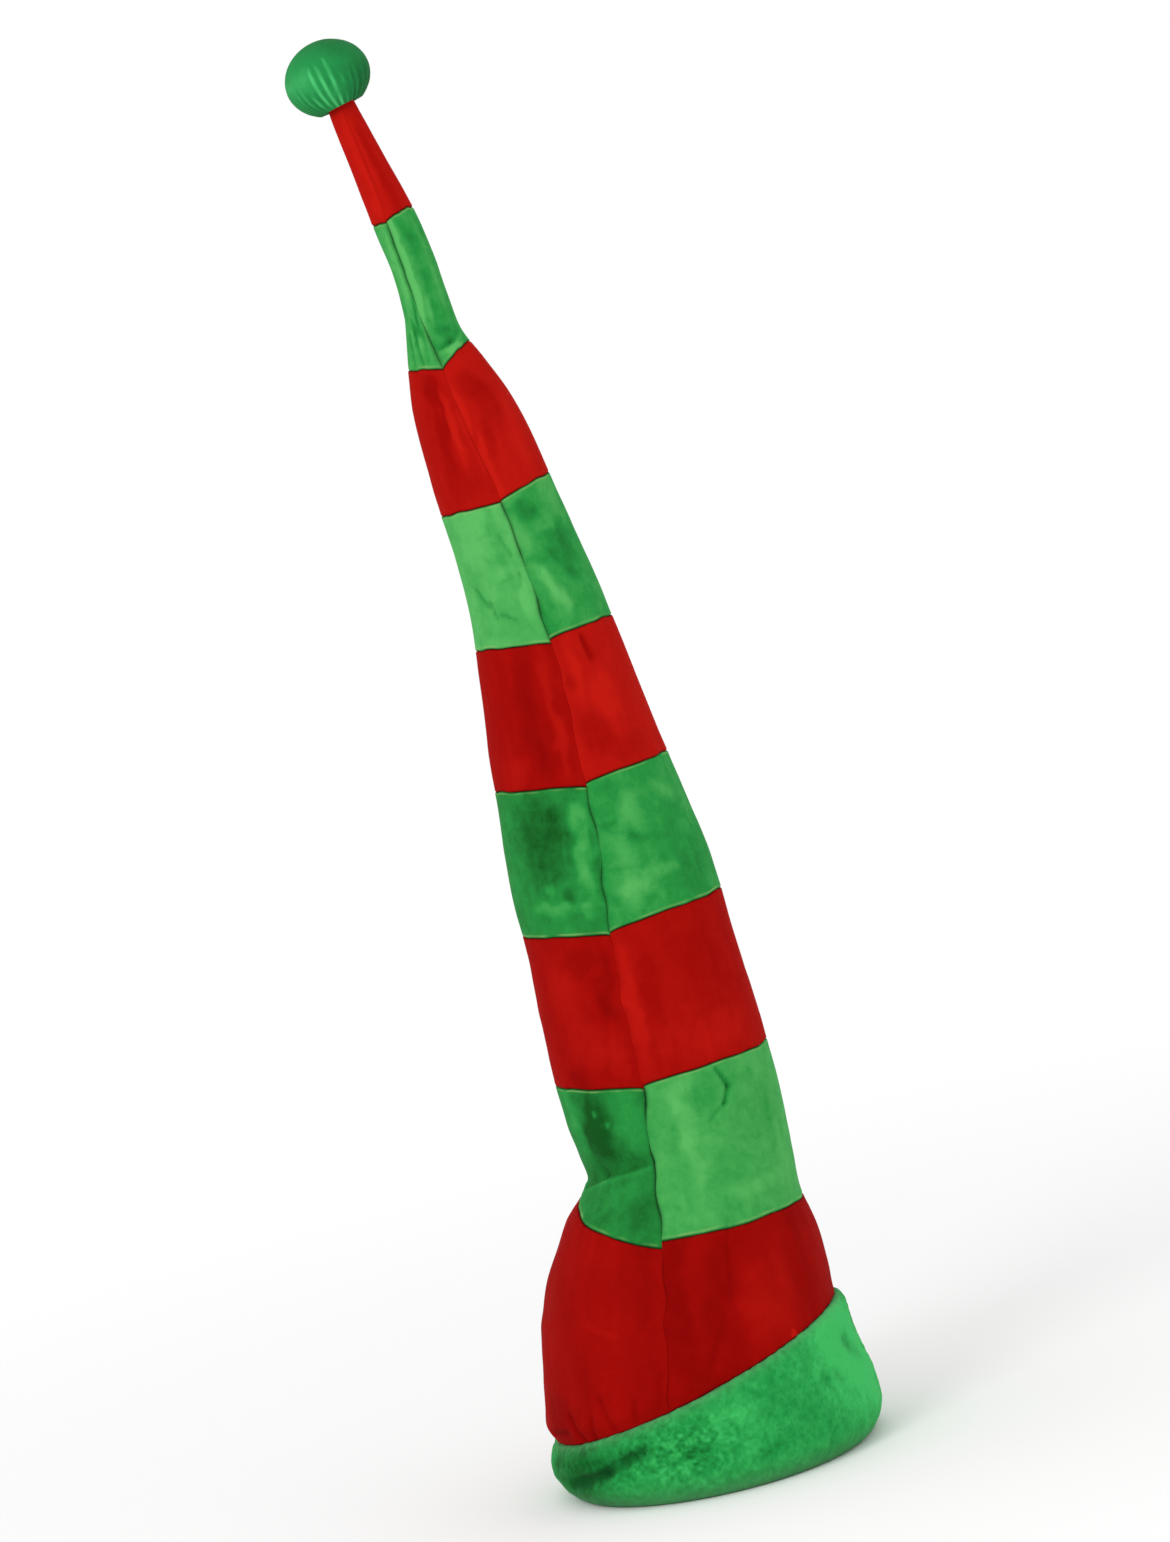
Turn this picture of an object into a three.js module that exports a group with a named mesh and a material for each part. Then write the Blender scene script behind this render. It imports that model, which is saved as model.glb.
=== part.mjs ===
// A tall elf hat in red and green stripes: a plush cuff, a domed crown, a long tapering spire,
// a thin neck and a gathered ball at the tip. Millimetres, +Z up. The rim stands on z = 0 with its
// centre at the origin. The front faces -Y, and left and right are as seen from the front, so the
// right is +X. Each stripe is two panels of cloth, left and right, that meet at a front seam and a
// back seam. The hat is hollow and open at the rim.
import * as THREE from "three";

// Heights of the three stretches of the hat, from the rim up
const CROWN_HEIGHT = 188;
const SPIRE_HEIGHT = 500;
const NECK_HEIGHT = 160;

// Outer radii that the section tables follow
const CROWN_RADIUS = 100;
const SPIRE_RADIUS = 65;
const NECK_RADIUS = 14;

// How far the tip stands to the left of the rim's centre, and how far the spire bows back
const LEAN = 41;
const BOW = 9;

// Cloth, seams and folds
const CLOTH = 2.5;
const SEAM_GAP = 0.3;
const SEAM_DIP = 1.2;
const SEAM_DIP_WIDTH = 7;
const FOLD_DEPTH = 4;

// The crown is tucked in where it meets the cuff, most at the left of the hat
const TUCK_DEPTH = 4;
const TUCK_SPREAD = 7;

// The cuff is plush folded double, and taller on the right of the hat than on the left
const CUFF_HEIGHT = 60.3;
const CUFF_SLANT = 25.2;

// How far the cuff stands out from the crown's outer face, and how far in from its inner face
const CUFF_STAND = 4.2;
const CUFF_BACKING = 5.3;

// The cuff's roundings, the width of the flat that it stands on, and the most of the cuff's height
// that the roll and the shoulder may take
const CUFF_SHOULDER = 9;
const CUFF_ROLL = 19;
const CUFF_HEM = 1;
const CUFF_FOOT = 2;
const ROLL_SHARE = 0.6;
const SHOULDER_SHARE = 0.3;

// The ball is stuffed, and gathered in pleats that hang a little below the seat where it is sewn on
const BALL_RADIUS = 26;
const BALL_HEIGHT = 45;
const BALL_TILT = 14;
const GATHER_WIDTH = 5;
const GATHER_DEPTH = 3.1;
const BALL_PLEATS = 12;
const PLEAT_DEPTH = 1.3;
const SEAT_MARGIN = 1;

// Facets
const CUFF_SIDES = 36;
const CUFF_ARC_STEPS = 4;
const SIDES_PER_PLEAT = 4;
const BALL_STEPS = 10;
const GATHER_STEPS = 3;
const SLOPE_STEP = 0.5;
const TURN_STEP = 0.01;
const CORRECTIONS = 5;

const HAT_HEIGHT = CROWN_HEIGHT + SPIRE_HEIGHT + NECK_HEIGHT;
const QUARTER = Math.PI / 2;
const DEGREE = Math.PI / 180;

const materials = {
  red: new THREE.MeshStandardMaterial({ color: 0xb3100f, roughness: 0.85, metalness: 0 }),
  green: new THREE.MeshStandardMaterial({ color: 0x2fa24a, roughness: 0.85, metalness: 0 }),
  plush: new THREE.MeshStandardMaterial({ color: 0x2aa550, roughness: 0.95, metalness: 0 }),
};

// Rows of numbers under named columns
function table(columns, rows) {
  return rows.map((row) => Object.fromEntries(columns.map((name, i) => [name, row[i]])));
}

// Sections. up is a share of the stretch's height, axis a share of LEAN with right positive,
// left, right, front and back are shares of the stretch's radius, and seam is how many degrees
// the front seam stands to the right of straight ahead.
const SECTION_COLUMNS = ["up", "axis", "left", "right", "front", "back", "seam"];
const CROWN_SECTIONS = table(SECTION_COLUMNS, [
  [0.0, 0.0, 0.93, 0.93, 0.985, 0.985, -16.5],
  [0.1, 0.0, 0.98, 0.98, 1.0, 1.0, -16.3],
  [0.16, 0.0, 0.985, 0.975, 0.995, 0.99, -16],
  [0.22, 0.0, 1.01, 0.955, 0.98, 0.975, -15.5],
  [0.3, 0.0, 0.985, 0.915, 0.965, 0.965, -14.5],
  [0.48, 0.0, 0.93, 0.88, 0.925, 0.92, -11.2],
  [0.55, 0.0, 0.905, 0.88, 0.9, 0.9, -10.2],
  [0.61, 0.04, 0.88, 0.86, 0.88, 0.875, -9.8],
  [0.68, 0.07, 0.845, 0.84, 0.845, 0.84, -9.4],
  [0.74, 0.12, 0.81, 0.8, 0.805, 0.8, -9.5],
  [0.8, 0.2, 0.77, 0.74, 0.75, 0.755, -10.8],
  [0.87, 0.32, 0.73, 0.69, 0.69, 0.7, -14],
  [0.94, 0.41, 0.64, 0.66, 0.625, 0.635, -18.2],
]);
const SPIRE_SECTIONS = table(SECTION_COLUMNS, [
  [0.0, 0.46, 0.95, 0.99, 0.9, 0.91, -19.6],
  [0.03, 0.455, 0.965, 1.0, 0.88, 0.89, -18.6],
  [0.07, 0.44, 1.01, 1.01, 0.87, 0.87, -14.8],
  [0.12, 0.4, 1.0, 1.015, 0.86, 0.855, -12],
  [0.2, 0.38, 0.985, 0.985, 0.84, 0.83, -11.8],
  [0.27, 0.355, 0.95, 0.955, 0.82, 0.81, -9.6],
  [0.34, 0.31, 0.935, 0.945, 0.8, 0.785, -6],
  [0.39, 0.285, 0.905, 0.91, 0.775, 0.76, -1.6],
  [0.46, 0.235, 0.835, 0.84, 0.72, 0.71, 0.3],
  [0.53, 0.19, 0.77, 0.78, 0.67, 0.655, 3],
  [0.6, 0.175, 0.7, 0.71, 0.61, 0.6, 4.6],
  [0.68, 0.14, 0.62, 0.63, 0.555, 0.545, 1.8],
  [0.75, 0.045, 0.57, 0.58, 0.51, 0.5, 2.5],
  [0.82, -0.07, 0.545, 0.55, 0.485, 0.475, 3],
  [0.89, -0.18, 0.505, 0.515, 0.455, 0.45, -2],
  [0.94, -0.265, 0.455, 0.455, 0.41, 0.41, -5.6],
  [0.985, -0.35, 0.36, 0.36, 0.34, 0.34, -6.5],
]);
const NECK_SECTIONS = table(SECTION_COLUMNS, [
  [0.1, -0.44, 1.14, 1.18, 1.12, 1.12, -12.5],
  [0.18, -0.45, 1.0, 1.08, 1.02, 1.02, -22],
  [0.32, -0.48, 0.97, 1.0, 0.985, 0.985, -28.5],
  [0.47, -0.57, 0.99, 1.0, 0.98, 0.98, -24.5],
  [0.62, -0.68, 0.92, 0.92, 0.92, 0.92, -15.5],
  [0.76, -0.8, 0.79, 0.79, 0.79, 0.79, -8],
  [0.91, -0.93, 0.67, 0.67, 0.67, 0.67, -2],
  [1.0, -1.0, 0.575, 0.575, 0.575, 0.575, 0],
]);

// Folds pressed into the cloth. at and tall are shares of the hat's height, turn and wide are
// degrees round from the right of the hat, with the front at 270, and deep is a share of FOLD_DEPTH.
const FOLDS = table(["at", "turn", "deep", "tall", "wide"], [
  [0.021, 214, 0.6, 0.006, 12],
  [0.035, 236, 0.9, 0.007, 13],
  [0.222, 205, 0.6, 0.008, 20],
  [0.229, 235, 1.0, 0.008, 20],
  [0.219, 140, 0.8, 0.009, 28],
  [0.195, 215, -0.5, 0.012, 30],
  [0.12, 285, 0.4, 0.05, 8],
  [0.15, 70, 0.5, 0.04, 10],
  [0.8, 225, 0.35, 0.012, 16],
  [0.8, 310, 0.35, 0.012, 16],
  [0.42, 120, 0.45, 0.03, 16],
  [0.55, 40, 0.4, 0.03, 16],
]);

// Stripes from the cuff up. top is the height of the stripe's upper seam where it crosses the front
// and back seams, as a share of the hat's height. left and right are how much higher it runs on each
// side, as shares of the stripe's radius, and bend is how soon it rises there: below 1 it rises
// fast. panels is the number of facets across a panel and rows the number up it.
const STRIPES = table(["colour", "top", "left", "right", "bend", "panels", "rows"], [
  ["red", 0.1756, 0.35, -0.01, 1.2, 13, 8],
  ["green", 0.2825, 0.1, 0.08, 0.55, 13, 10],
  ["red", 0.3919, 0.095, 0.125, 0.6, 13, 5],
  ["green", 0.4964, 0.105, 0.125, 0.6, 12, 5],
  ["red", 0.5993, 0.08, 0.15, 0.6, 12, 5],
  ["green", 0.7026, -0.04, 0.29, 0.8, 12, 5],
  ["red", 0.8015, 0.16, 0.57, 0.8, 12, 7],
  ["green", 0.9105, -0.02, 0.44, 0.9, 10, 6],
  ["red", 1.0, 0, 0, 1, 10, 5],
]);

const SECTIONS = [
  ...placed(CROWN_SECTIONS, 0, CROWN_HEIGHT, CROWN_RADIUS),
  ...placed(SPIRE_SECTIONS, CROWN_HEIGHT, SPIRE_HEIGHT, SPIRE_RADIUS),
  ...placed(NECK_SECTIONS, CROWN_HEIGHT + SPIRE_HEIGHT, NECK_HEIGHT, NECK_RADIUS),
];
const CURVES = SECTION_COLUMNS.slice(1);
const SLOPES = Object.fromEntries(CURVES.map((name) => [name, slopesOf(name)]));

// A stretch's sections in millimetres and radians
function placed(sections, foot, height, radius) {
  return sections.map((row) => ({
    z: foot + row.up * height,
    axis: row.axis * LEAN,
    left: row.left * radius,
    right: row.right * radius,
    front: row.front * radius,
    back: row.back * radius,
    seam: row.seam * DEGREE,
  }));
}

// Slopes for a smooth curve through one column that never overshoots its own points
function slopesOf(name) {
  const rise = SECTIONS.slice(1).map(
    (row, i) => (row[name] - SECTIONS[i][name]) / (row.z - SECTIONS[i].z),
  );
  return SECTIONS.map((_, i) => {
    const before = rise[Math.max(i - 1, 0)];
    const after = rise[Math.min(i, rise.length - 1)];
    return before * after > 0 ? (2 * before * after) / (before + after) : 0;
  });
}

// The section at a height, every column interpolated
function sectionAt(z) {
  const last = SECTIONS.length - 2;
  let i = SECTIONS.findIndex((row) => row.z > z) - 1;
  if (i < 0) i = z < SECTIONS[0].z ? 0 : last;
  const low = SECTIONS[i];
  const high = SECTIONS[i + 1];
  const span = high.z - low.z;
  const t = THREE.MathUtils.clamp((z - low.z) / span, 0, 1);
  const section = {};
  for (const name of CURVES) {
    const slope = SLOPES[name];
    section[name] =
      (2 * t ** 3 - 3 * t ** 2 + 1) * low[name] +
      (t ** 3 - 2 * t ** 2 + t) * span * slope[i] +
      (3 * t ** 2 - 2 * t ** 3) * high[name] +
      (t ** 3 - t ** 2) * span * slope[i + 1];
  }
  return section;
}

// How far back the spire's axis stands at a height
function bowAt(z) {
  const share = THREE.MathUtils.clamp((z - CROWN_HEIGHT) / (HAT_HEIGHT - CROWN_HEIGHT), 0, 1);
  return (BOW * (1 - Math.cos(2 * Math.PI * share))) / 2;
}

// The smallest angle between two directions
function angleBetween(a, b) {
  return Math.abs(Math.atan2(Math.sin(a - b), Math.cos(a - b)));
}

// The front and back seams' directions at a height, turned round from the right of the hat
function frontSeam(z) {
  return 3 * QUARTER + sectionAt(z).seam;
}
function backSeam(z) {
  return QUARTER + sectionAt(z).seam;
}

// How far the folds, the tuck and the two upright seams pull the cloth in
function pulledIn(z, turn, radius) {
  const nearest = Math.min(angleBetween(turn, frontSeam(z)), angleBetween(turn, backSeam(z)));
  const seam = SEAM_DIP * Math.exp(-(((nearest * radius) / SEAM_DIP_WIDTH) ** 2));
  const share = z / HAT_HEIGHT;
  const folds = FOLDS.map((fold) => {
    const up = (share - fold.at) / fold.tall;
    const round = angleBetween(turn, fold.turn * DEGREE) / (fold.wide * DEGREE);
    return fold.deep * FOLD_DEPTH * Math.exp(-(up ** 2) - round ** 2);
  });
  const fade = Math.exp(-(((z - cuffTop(turn)) / TUCK_SPREAD) ** 2));
  const tuck = (TUCK_DEPTH * fade * (1 - Math.cos(turn))) / 2;
  return folds.reduce((sum, depth) => sum + depth, tuck + seam * Math.min(1, radius / SPIRE_RADIUS));
}

// A point of the cloth's outer face
function skin(z, turn) {
  const section = sectionAt(z);
  const across = Math.cos(turn);
  const along = Math.sin(turn);
  const wide = across > 0 ? section.right : section.left;
  const deep = along > 0 ? section.back : section.front;
  const inward = pulledIn(z, turn, wide);
  return new THREE.Vector3(
    section.axis + (wide - inward) * across,
    bowAt(z) + (deep - inward) * along,
    z,
  );
}

// The level direction out of the cloth, made longer where the cloth slopes, so that a step of one
// cloth's thickness along it crosses the wall
function outward(z, turn) {
  const up = skin(z + SLOPE_STEP, turn).sub(skin(z - SLOPE_STEP, turn));
  const round = skin(z, turn + TURN_STEP).sub(skin(z, turn - TURN_STEP));
  const normal = round.cross(up).normalize();
  const level = Math.hypot(normal.x, normal.y);
  return new THREE.Vector3(normal.x, normal.y, 0).divideScalar(level ** 2);
}

// The cuff's upper edge, a level ring tipped up towards the right
function cuffTop(turn) {
  return CUFF_HEIGHT + CUFF_SLANT * Math.cos(turn);
}

// The direction that lies a share of the way from the front seam round one side to the back seam
function directionAt(z, side, share) {
  const front = frontSeam(z) - (side > 0 ? 2 * Math.PI : 0);
  return THREE.MathUtils.lerp(front, backSeam(z), share);
}

// How steeply a stripe's upper seam rises to the right
function seamSlant(stripe) {
  if (stripe < 0) return CUFF_SLANT / CROWN_RADIUS;
  if (stripe === STRIPES.length - 1) return Math.tan(BALL_TILT * DEGREE);
  return (STRIPES[stripe].right - STRIPES[stripe].left) / 2;
}

// The cuff's upper edge at a share of the way round one side. The way round turns a little with
// height, so the height is found by a few rounds of correction.
function cuffEdge(side, share) {
  let z = CUFF_HEIGHT;
  for (let i = 0; i < CORRECTIONS; i++) z = cuffTop(directionAt(z, side, share));
  return z;
}

// The height of a stripe's upper seam at a share of the way round one side. The last seam lies
// square to the ball's axis.
function seamHeight(stripe, side, share) {
  if (stripe < 0) return cuffEdge(side, share);
  const row = STRIPES[stripe];
  const crossing = row.top * HAT_HEIGHT;
  const section = sectionAt(crossing);
  const radius = (section.left + section.right) / 2;
  const round = Math.sin(Math.PI * share);
  if (stripe === STRIPES.length - 1) return crossing + side * seamSlant(stripe) * radius * round;
  return crossing + radius * (side > 0 ? row.right : row.left) * Math.max(round, 0) ** row.bend;
}

// A closed geometry from a grid of outer points, a like grid of inner points and their four rims
function wallGeometry(outer, inner) {
  const rows = outer.length;
  const columns = outer[0].length;
  const points = [...outer.flat(), ...inner.flat()];
  const index = [];
  const at = (layer, row, column) => layer * rows * columns + row * columns + column;
  const quad = (a, b, c, d) => index.push(a, b, c, a, c, d);
  for (let r = 0; r < rows - 1; r++)
    for (let c = 0; c < columns - 1; c++) {
      quad(at(0, r, c), at(0, r, c + 1), at(0, r + 1, c + 1), at(0, r + 1, c));
      quad(at(1, r, c), at(1, r + 1, c), at(1, r + 1, c + 1), at(1, r, c + 1));
    }
  for (let c = 0; c < columns - 1; c++) {
    quad(at(0, 0, c + 1), at(0, 0, c), at(1, 0, c), at(1, 0, c + 1));
    quad(at(0, rows - 1, c), at(0, rows - 1, c + 1), at(1, rows - 1, c + 1), at(1, rows - 1, c));
  }
  for (let r = 0; r < rows - 1; r++) {
    quad(at(0, r, 0), at(0, r + 1, 0), at(1, r + 1, 0), at(1, r, 0));
    quad(at(0, r + 1, columns - 1), at(0, r, columns - 1), at(1, r, columns - 1), at(1, r + 1, columns - 1));
  }
  return new THREE.BufferGeometry().setFromPoints(points).setIndex(index);
}

// One panel of a stripe. side is 1 on the right of the hat and -1 on its left.
function panelGeometry(stripe, side) {
  const { panels, rows } = STRIPES[stripe];
  const outer = [];
  const inner = [];
  for (let r = 0; r <= rows; r++) {
    const outerRow = [];
    const innerRow = [];
    for (let c = 0; c <= panels; c++) {
      const share = side > 0 ? c / panels : 1 - c / panels;
      const low = seamHeight(stripe - 1, side, share) + SEAM_GAP / 2;
      const high = seamHeight(stripe, side, share) - SEAM_GAP / 2;
      const z = THREE.MathUtils.lerp(low, high, r / rows);
      const section = sectionAt(z);
      const margin = SEAM_GAP / 2 / Math.min(section.front, section.left);
      const trimmed = c === 0 ? margin : c === panels ? -margin : 0;
      const turn = directionAt(z, side, share) + trimmed;
      const slant = THREE.MathUtils.lerp(seamSlant(stripe - 1), seamSlant(stripe), r / rows);
      const through = outward(z, turn).multiplyScalar(-CLOTH);
      through.z = slant * through.x;
      outerRow.push(skin(z, turn));
      innerRow.push(skin(z, turn).add(through));
    }
    outer.push(outerRow);
    inner.push(innerRow);
  }
  return wallGeometry(outer, inner);
}

// The cuff's section, as steps out from the cloth's outer face and heights, anticlockwise from the
// inner edge of the flat that it stands on. The roll and the shoulder are limited by its height.
function cuffSection(top) {
  const inside = -CLOTH - CUFF_BACKING;
  const foot = inside + CUFF_HEM + CUFF_FOOT;
  const roll = Math.min(CUFF_ROLL, ROLL_SHARE * top);
  const shoulder = Math.min(CUFF_SHOULDER, SHOULDER_SHARE * top);
  const points = [];
  const arc = (out, height, wide, tall, from) => {
    for (let i = 0; i <= CUFF_ARC_STEPS; i++) {
      const turn = from + (QUARTER * i) / CUFF_ARC_STEPS;
      points.push([out + wide * Math.cos(turn), height + tall * Math.sin(turn)]);
    }
  };
  arc(foot, roll, CUFF_STAND - foot, roll, -QUARTER);
  arc(0, top - shoulder, CUFF_STAND, shoulder, 0);
  arc(inside + CUFF_HEM, top - CUFF_HEM, CUFF_HEM, CUFF_HEM, QUARTER);
  arc(inside + CUFF_HEM, CUFF_HEM, CUFF_HEM, CUFF_HEM, 2 * QUARTER);
  return points;
}

// The cuff: its section carried round the foot of the crown
function cuffGeometry() {
  const points = [];
  const index = [];
  let count = 0;
  for (let s = 0; s < CUFF_SIDES; s++) {
    const turn = (2 * Math.PI * s) / CUFF_SIDES;
    const top = cuffTop(turn) - SEAM_GAP / 2;
    const section = cuffSection(top);
    count = section.length;
    for (const [out, height] of section) {
      const step = new THREE.Vector3(Math.cos(turn), Math.sin(turn), 0).multiplyScalar(out);
      step.z = (height / top) * seamSlant(-1) * step.x;
      points.push(skin(height, turn).add(step));
    }
  }
  for (let s = 0; s < CUFF_SIDES; s++)
    for (let p = 0; p < count; p++) {
      const next = ((s + 1) % CUFF_SIDES) * count;
      const here = s * count;
      const q = (p + 1) % count;
      index.push(here + p, next + p, next + q, here + p, next + q, here + q);
    }
  return new THREE.BufferGeometry().setFromPoints(points).setIndex(index);
}

// The ball's profile from its axis at the seat to its axis at the top: the seat, the gathers that
// turn down and out from it, and the flattened sphere
function ballProfile(seat) {
  const half = BALL_HEIGHT / 2;
  const start = Math.acos((seat + GATHER_WIDTH) / BALL_RADIUS);
  const centre = half * Math.sin(start) - GATHER_DEPTH;
  const profile = [new THREE.Vector2(0, SEAM_GAP)];
  for (let i = 0; i < GATHER_STEPS; i++) {
    const turn = (QUARTER * i) / GATHER_STEPS;
    const out = seat + GATHER_WIDTH * (1 - Math.cos(turn));
    profile.push(new THREE.Vector2(out, SEAM_GAP - (SEAM_GAP + GATHER_DEPTH) * Math.sin(turn)));
  }
  for (let i = 0; i <= BALL_STEPS; i++) {
    const turn = -start + ((start + QUARTER) * i) / BALL_STEPS;
    const out = i === BALL_STEPS ? 0 : BALL_RADIUS * Math.cos(turn);
    profile.push(new THREE.Vector2(out, centre + half * Math.sin(turn)));
  }
  return profile;
}

// The ball on the neck's end, pleated most where it is gathered
function ballMesh() {
  const tip = sectionAt(HAT_HEIGHT);
  const seat = tip.right + SEAT_MARGIN;
  const sides = BALL_PLEATS * SIDES_PER_PLEAT;
  const geometry = new THREE.LatheGeometry(ballProfile(seat), sides).rotateX(QUARTER);
  const positions = geometry.getAttribute("position");
  for (let i = 0; i < positions.count; i++) {
    const point = new THREE.Vector3().fromBufferAttribute(positions, i);
    const radius = Math.hypot(point.x, point.y);
    const near = THREE.MathUtils.clamp(1 - (2 * point.z) / BALL_HEIGHT, 0, 1);
    const spread = THREE.MathUtils.clamp((radius - seat) / GATHER_WIDTH, 0, 1);
    const pleat = (1 - Math.cos(BALL_PLEATS * Math.atan2(point.y, point.x))) / 2;
    const kept = radius > 0 ? 1 - (PLEAT_DEPTH * near * spread * pleat) / radius : 1;
    positions.setXY(i, point.x * kept, point.y * kept);
  }
  const ball = new THREE.Mesh(geometry, materials.plush);
  ball.name = "ball";
  ball.position.set(tip.axis, bowAt(HAT_HEIGHT), HAT_HEIGHT);
  ball.rotation.y = -BALL_TILT * DEGREE;
  return ball;
}

function cuffMesh() {
  const cuff = new THREE.Mesh(cuffGeometry(), materials.plush);
  cuff.name = "cuff";
  return cuff;
}

// The two panels of each stripe
function stripeGroup(stripe) {
  const group = new THREE.Group();
  for (const [side, word] of [[-1, "left"], [1, "right"]]) {
    const panel = new THREE.Mesh(panelGeometry(stripe, side), materials[STRIPES[stripe].colour]);
    panel.name = `stripe_${stripe + 1}_${word}`;
    group.add(panel);
  }
  return group;
}

const hat = new THREE.Group();
hat.add(cuffMesh());
STRIPES.forEach((_, stripe) => hat.add(stripeGroup(stripe)));
hat.add(ballMesh());

export default hat;
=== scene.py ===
# A tall elf hat: a plush cuff, a domed crown, a long striped spire of velour, a thin neck and a
# gathered ball. Metres, +Z up, the front facing -Y. Left and right are as seen from the front.
import math

import bpy
import numpy as np
from mathutils import Matrix, Vector


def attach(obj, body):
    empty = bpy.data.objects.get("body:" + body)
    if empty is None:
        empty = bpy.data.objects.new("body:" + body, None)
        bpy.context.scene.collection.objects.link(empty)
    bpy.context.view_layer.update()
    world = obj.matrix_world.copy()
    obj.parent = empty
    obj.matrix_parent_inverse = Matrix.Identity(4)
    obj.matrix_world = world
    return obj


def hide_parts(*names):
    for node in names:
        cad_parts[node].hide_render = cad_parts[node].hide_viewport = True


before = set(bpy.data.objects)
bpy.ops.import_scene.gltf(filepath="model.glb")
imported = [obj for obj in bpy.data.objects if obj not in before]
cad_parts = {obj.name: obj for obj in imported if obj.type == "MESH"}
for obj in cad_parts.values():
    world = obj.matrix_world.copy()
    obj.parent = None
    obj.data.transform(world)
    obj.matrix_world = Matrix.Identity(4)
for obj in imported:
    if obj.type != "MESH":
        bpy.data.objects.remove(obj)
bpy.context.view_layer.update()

MM = 0.001
QUARTER = math.pi / 2

# Heights of the three stretches of the hat, from the rim up, and the radii that their tables follow
CROWN_HEIGHT = 188 * MM
SPIRE_HEIGHT = 500 * MM
NECK_HEIGHT = 160 * MM
HAT_HEIGHT = CROWN_HEIGHT + SPIRE_HEIGHT + NECK_HEIGHT
CROWN_RADIUS = 100 * MM
SPIRE_RADIUS = 65 * MM
NECK_RADIUS = 14 * MM

# How far the tip stands to the left of the rim's centre, and how far the spire bows back
LEAN = 41 * MM
BOW = 9 * MM

# Cloth, and the seam allowance turned in at each seam. A narrow neck has room for less of it.
CLOTH = 2.5 * MM
SEAM_GAP = 0.04 * MM
ALLOWANCE = 6 * MM
ALLOWANCE_ROOM = 0.35
ALLOWANCE_CLOTH = 1.1 * MM
ALLOWANCE_SLANT = 1.6 * MM

# How the cloth rounds over into a seam, and the small puckers that the stitches pull beside it
SEAM_ROLL = 1.3 * MM
SEAM_EDGE = 3 * MM
SHORT_EDGE = 2 * MM
SHORT_STRIPE = 60 * MM
EDGE_STEPS = np.array([0, 0, 0.08, 0.2, 0.36, 0.56, 0.78])
PUCKER_DEPTH = 0.16 * MM
PUCKER_LONG = 2.6 * MM
PUCKER_SHORT = 1.7 * MM
PUCKER_FADE = 5 * MM

# How seams waver, as by hand. The waves of a stripe's seam have a height, how many radians of them go
# round one side, and a phase for each stripe. Those of the front and back seams have a strength, a
# length and a phase, and so have those of how far open these two seams lie.
SEAM_WAVES = ((0.35 * MM, 23, 1.7), (0.25 * MM, 47, 2.9))
FRONT_WAVER = math.radians(0.4)
FRONT_WAVES = ((1, 6 * MM, 0), (0.7, 3.7 * MM, 1))
GAPE_WAVES = ((0.32, 9 * MM, 0), (0.25, 5.3 * MM, 2))
GAPE_MEAN = 0.68
GAPE_LEAST = 0.15

# Shadow in a seam between stripes and in the front and back seams, and pale roots beside a seam
SEAM_SHADOW = 0.75 * MM
FRONT_SHADOW = 1.3 * MM
SEAM_PALE = 0.55 * MM
SEAM_PALE_AT = 1.5 * MM

# The depth of the large folds and of the tuck over the cuff
FOLD_DEPTH = 4 * MM
TUCK_DEPTH = 4 * MM
TUCK_SPREAD = 7 * MM

# Soft dents all over the cloth, as how strong in millimetres and how large. They fade on the neck.
DENTS = ((0.8, 62 * MM), (0.5, 27 * MM), (0.2, 10 * MM))
SLACK_RANGE = (0.25, 1.2)

# How dark the painted shade is in a tuck and in creases sharper than the width given, in
# millimetres, with ridges as sharp painted pale, and how pale the painted highlight is on the lip
# under a tuck
TUCK_EDGE = 1.3 * MM
TUCK_SHADE = 0.5
TUCK_SHADE_FADE = 5 * MM
TUCK_LIGHT = 0.3
TUCK_LIGHT_AT = 1.6 * MM
TUCK_LIGHT_WIDE = 1.4 * MM
CREASE_SHADE = 0.3
SHARP_CREASE = 3

# How far the edges of the patches of nap and of painted shade and light waver, the strengths and
# sizes of those waves, and how sharply a patch ends
PATCH_WAVER = 3.5 * MM
PATCH_WAVES = ((1, 11 * MM), (0.5, 5 * MM))
PATCH_EDGE = 1.9

# The cuff
CUFF_HEIGHT = 60.3 * MM
CUFF_SLANT = 25.2 * MM
CUFF_STAND = 4.2 * MM
CUFF_BACKING = 5.3 * MM
CUFF_SHOULDER = 9 * MM
CUFF_ROLL = 19 * MM
CUFF_HEM = 1 * MM
CUFF_FOOT = 2 * MM
ROLL_SHARE = 0.6
SHOULDER_SHARE = 0.3
CUFF_STEPS = dict(roll=22, shoulder=12, lip=4, top=6, back=18)

# The cuff's pile: soft swellings, clumps and tufts by size, rougher in one patch at the front, with
# pale tips and scallops at the upper edge
CUFF_SWELLINGS = ((1, 34 * MM), (0.6, 15 * MM))
CUFF_CLUMPS = 6.5 * MM
CUFF_TUFTS = ((1, 2.6 * MM), (0.6, 1.5 * MM))
ROUGH_TURN = math.radians(257)
ROUGH_WIDE = 0.36
ROUGH_HEIGHT = 32 * MM
ROUGH_TALL = 22 * MM
FRINGE = 1.5 * MM
FRINGE_SPOTS = 2.4 * MM
SCALLOPS = 62
SCALLOP_LUMPS = 2.1 * MM

# The ball
BALL_RADIUS = 26 * MM
BALL_HEIGHT = 45 * MM
BALL_TILT = math.radians(14)
GATHER_WIDTH = 5 * MM
GATHER_DEPTH = 3.1 * MM
SEAT_MARGIN = 1 * MM
BALL_PLEATS = 30
PLEAT_SIDES = 14
PLEAT_DEPTH = 1.2 * MM
PLEAT_FRONT = math.radians(265)
PLEAT_FRONT_WIDE = 0.5
BALL_DENTS = ((0.5 * MM, 17 * MM), (0.07 * MM, 3 * MM))
# The turn from which painted light falls on the ball, and the share of its height above and below which
# painted shade darkens it
BALL_LIT_FROM = math.radians(215)
BALL_SHADE_FROM = 0.42

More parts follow.
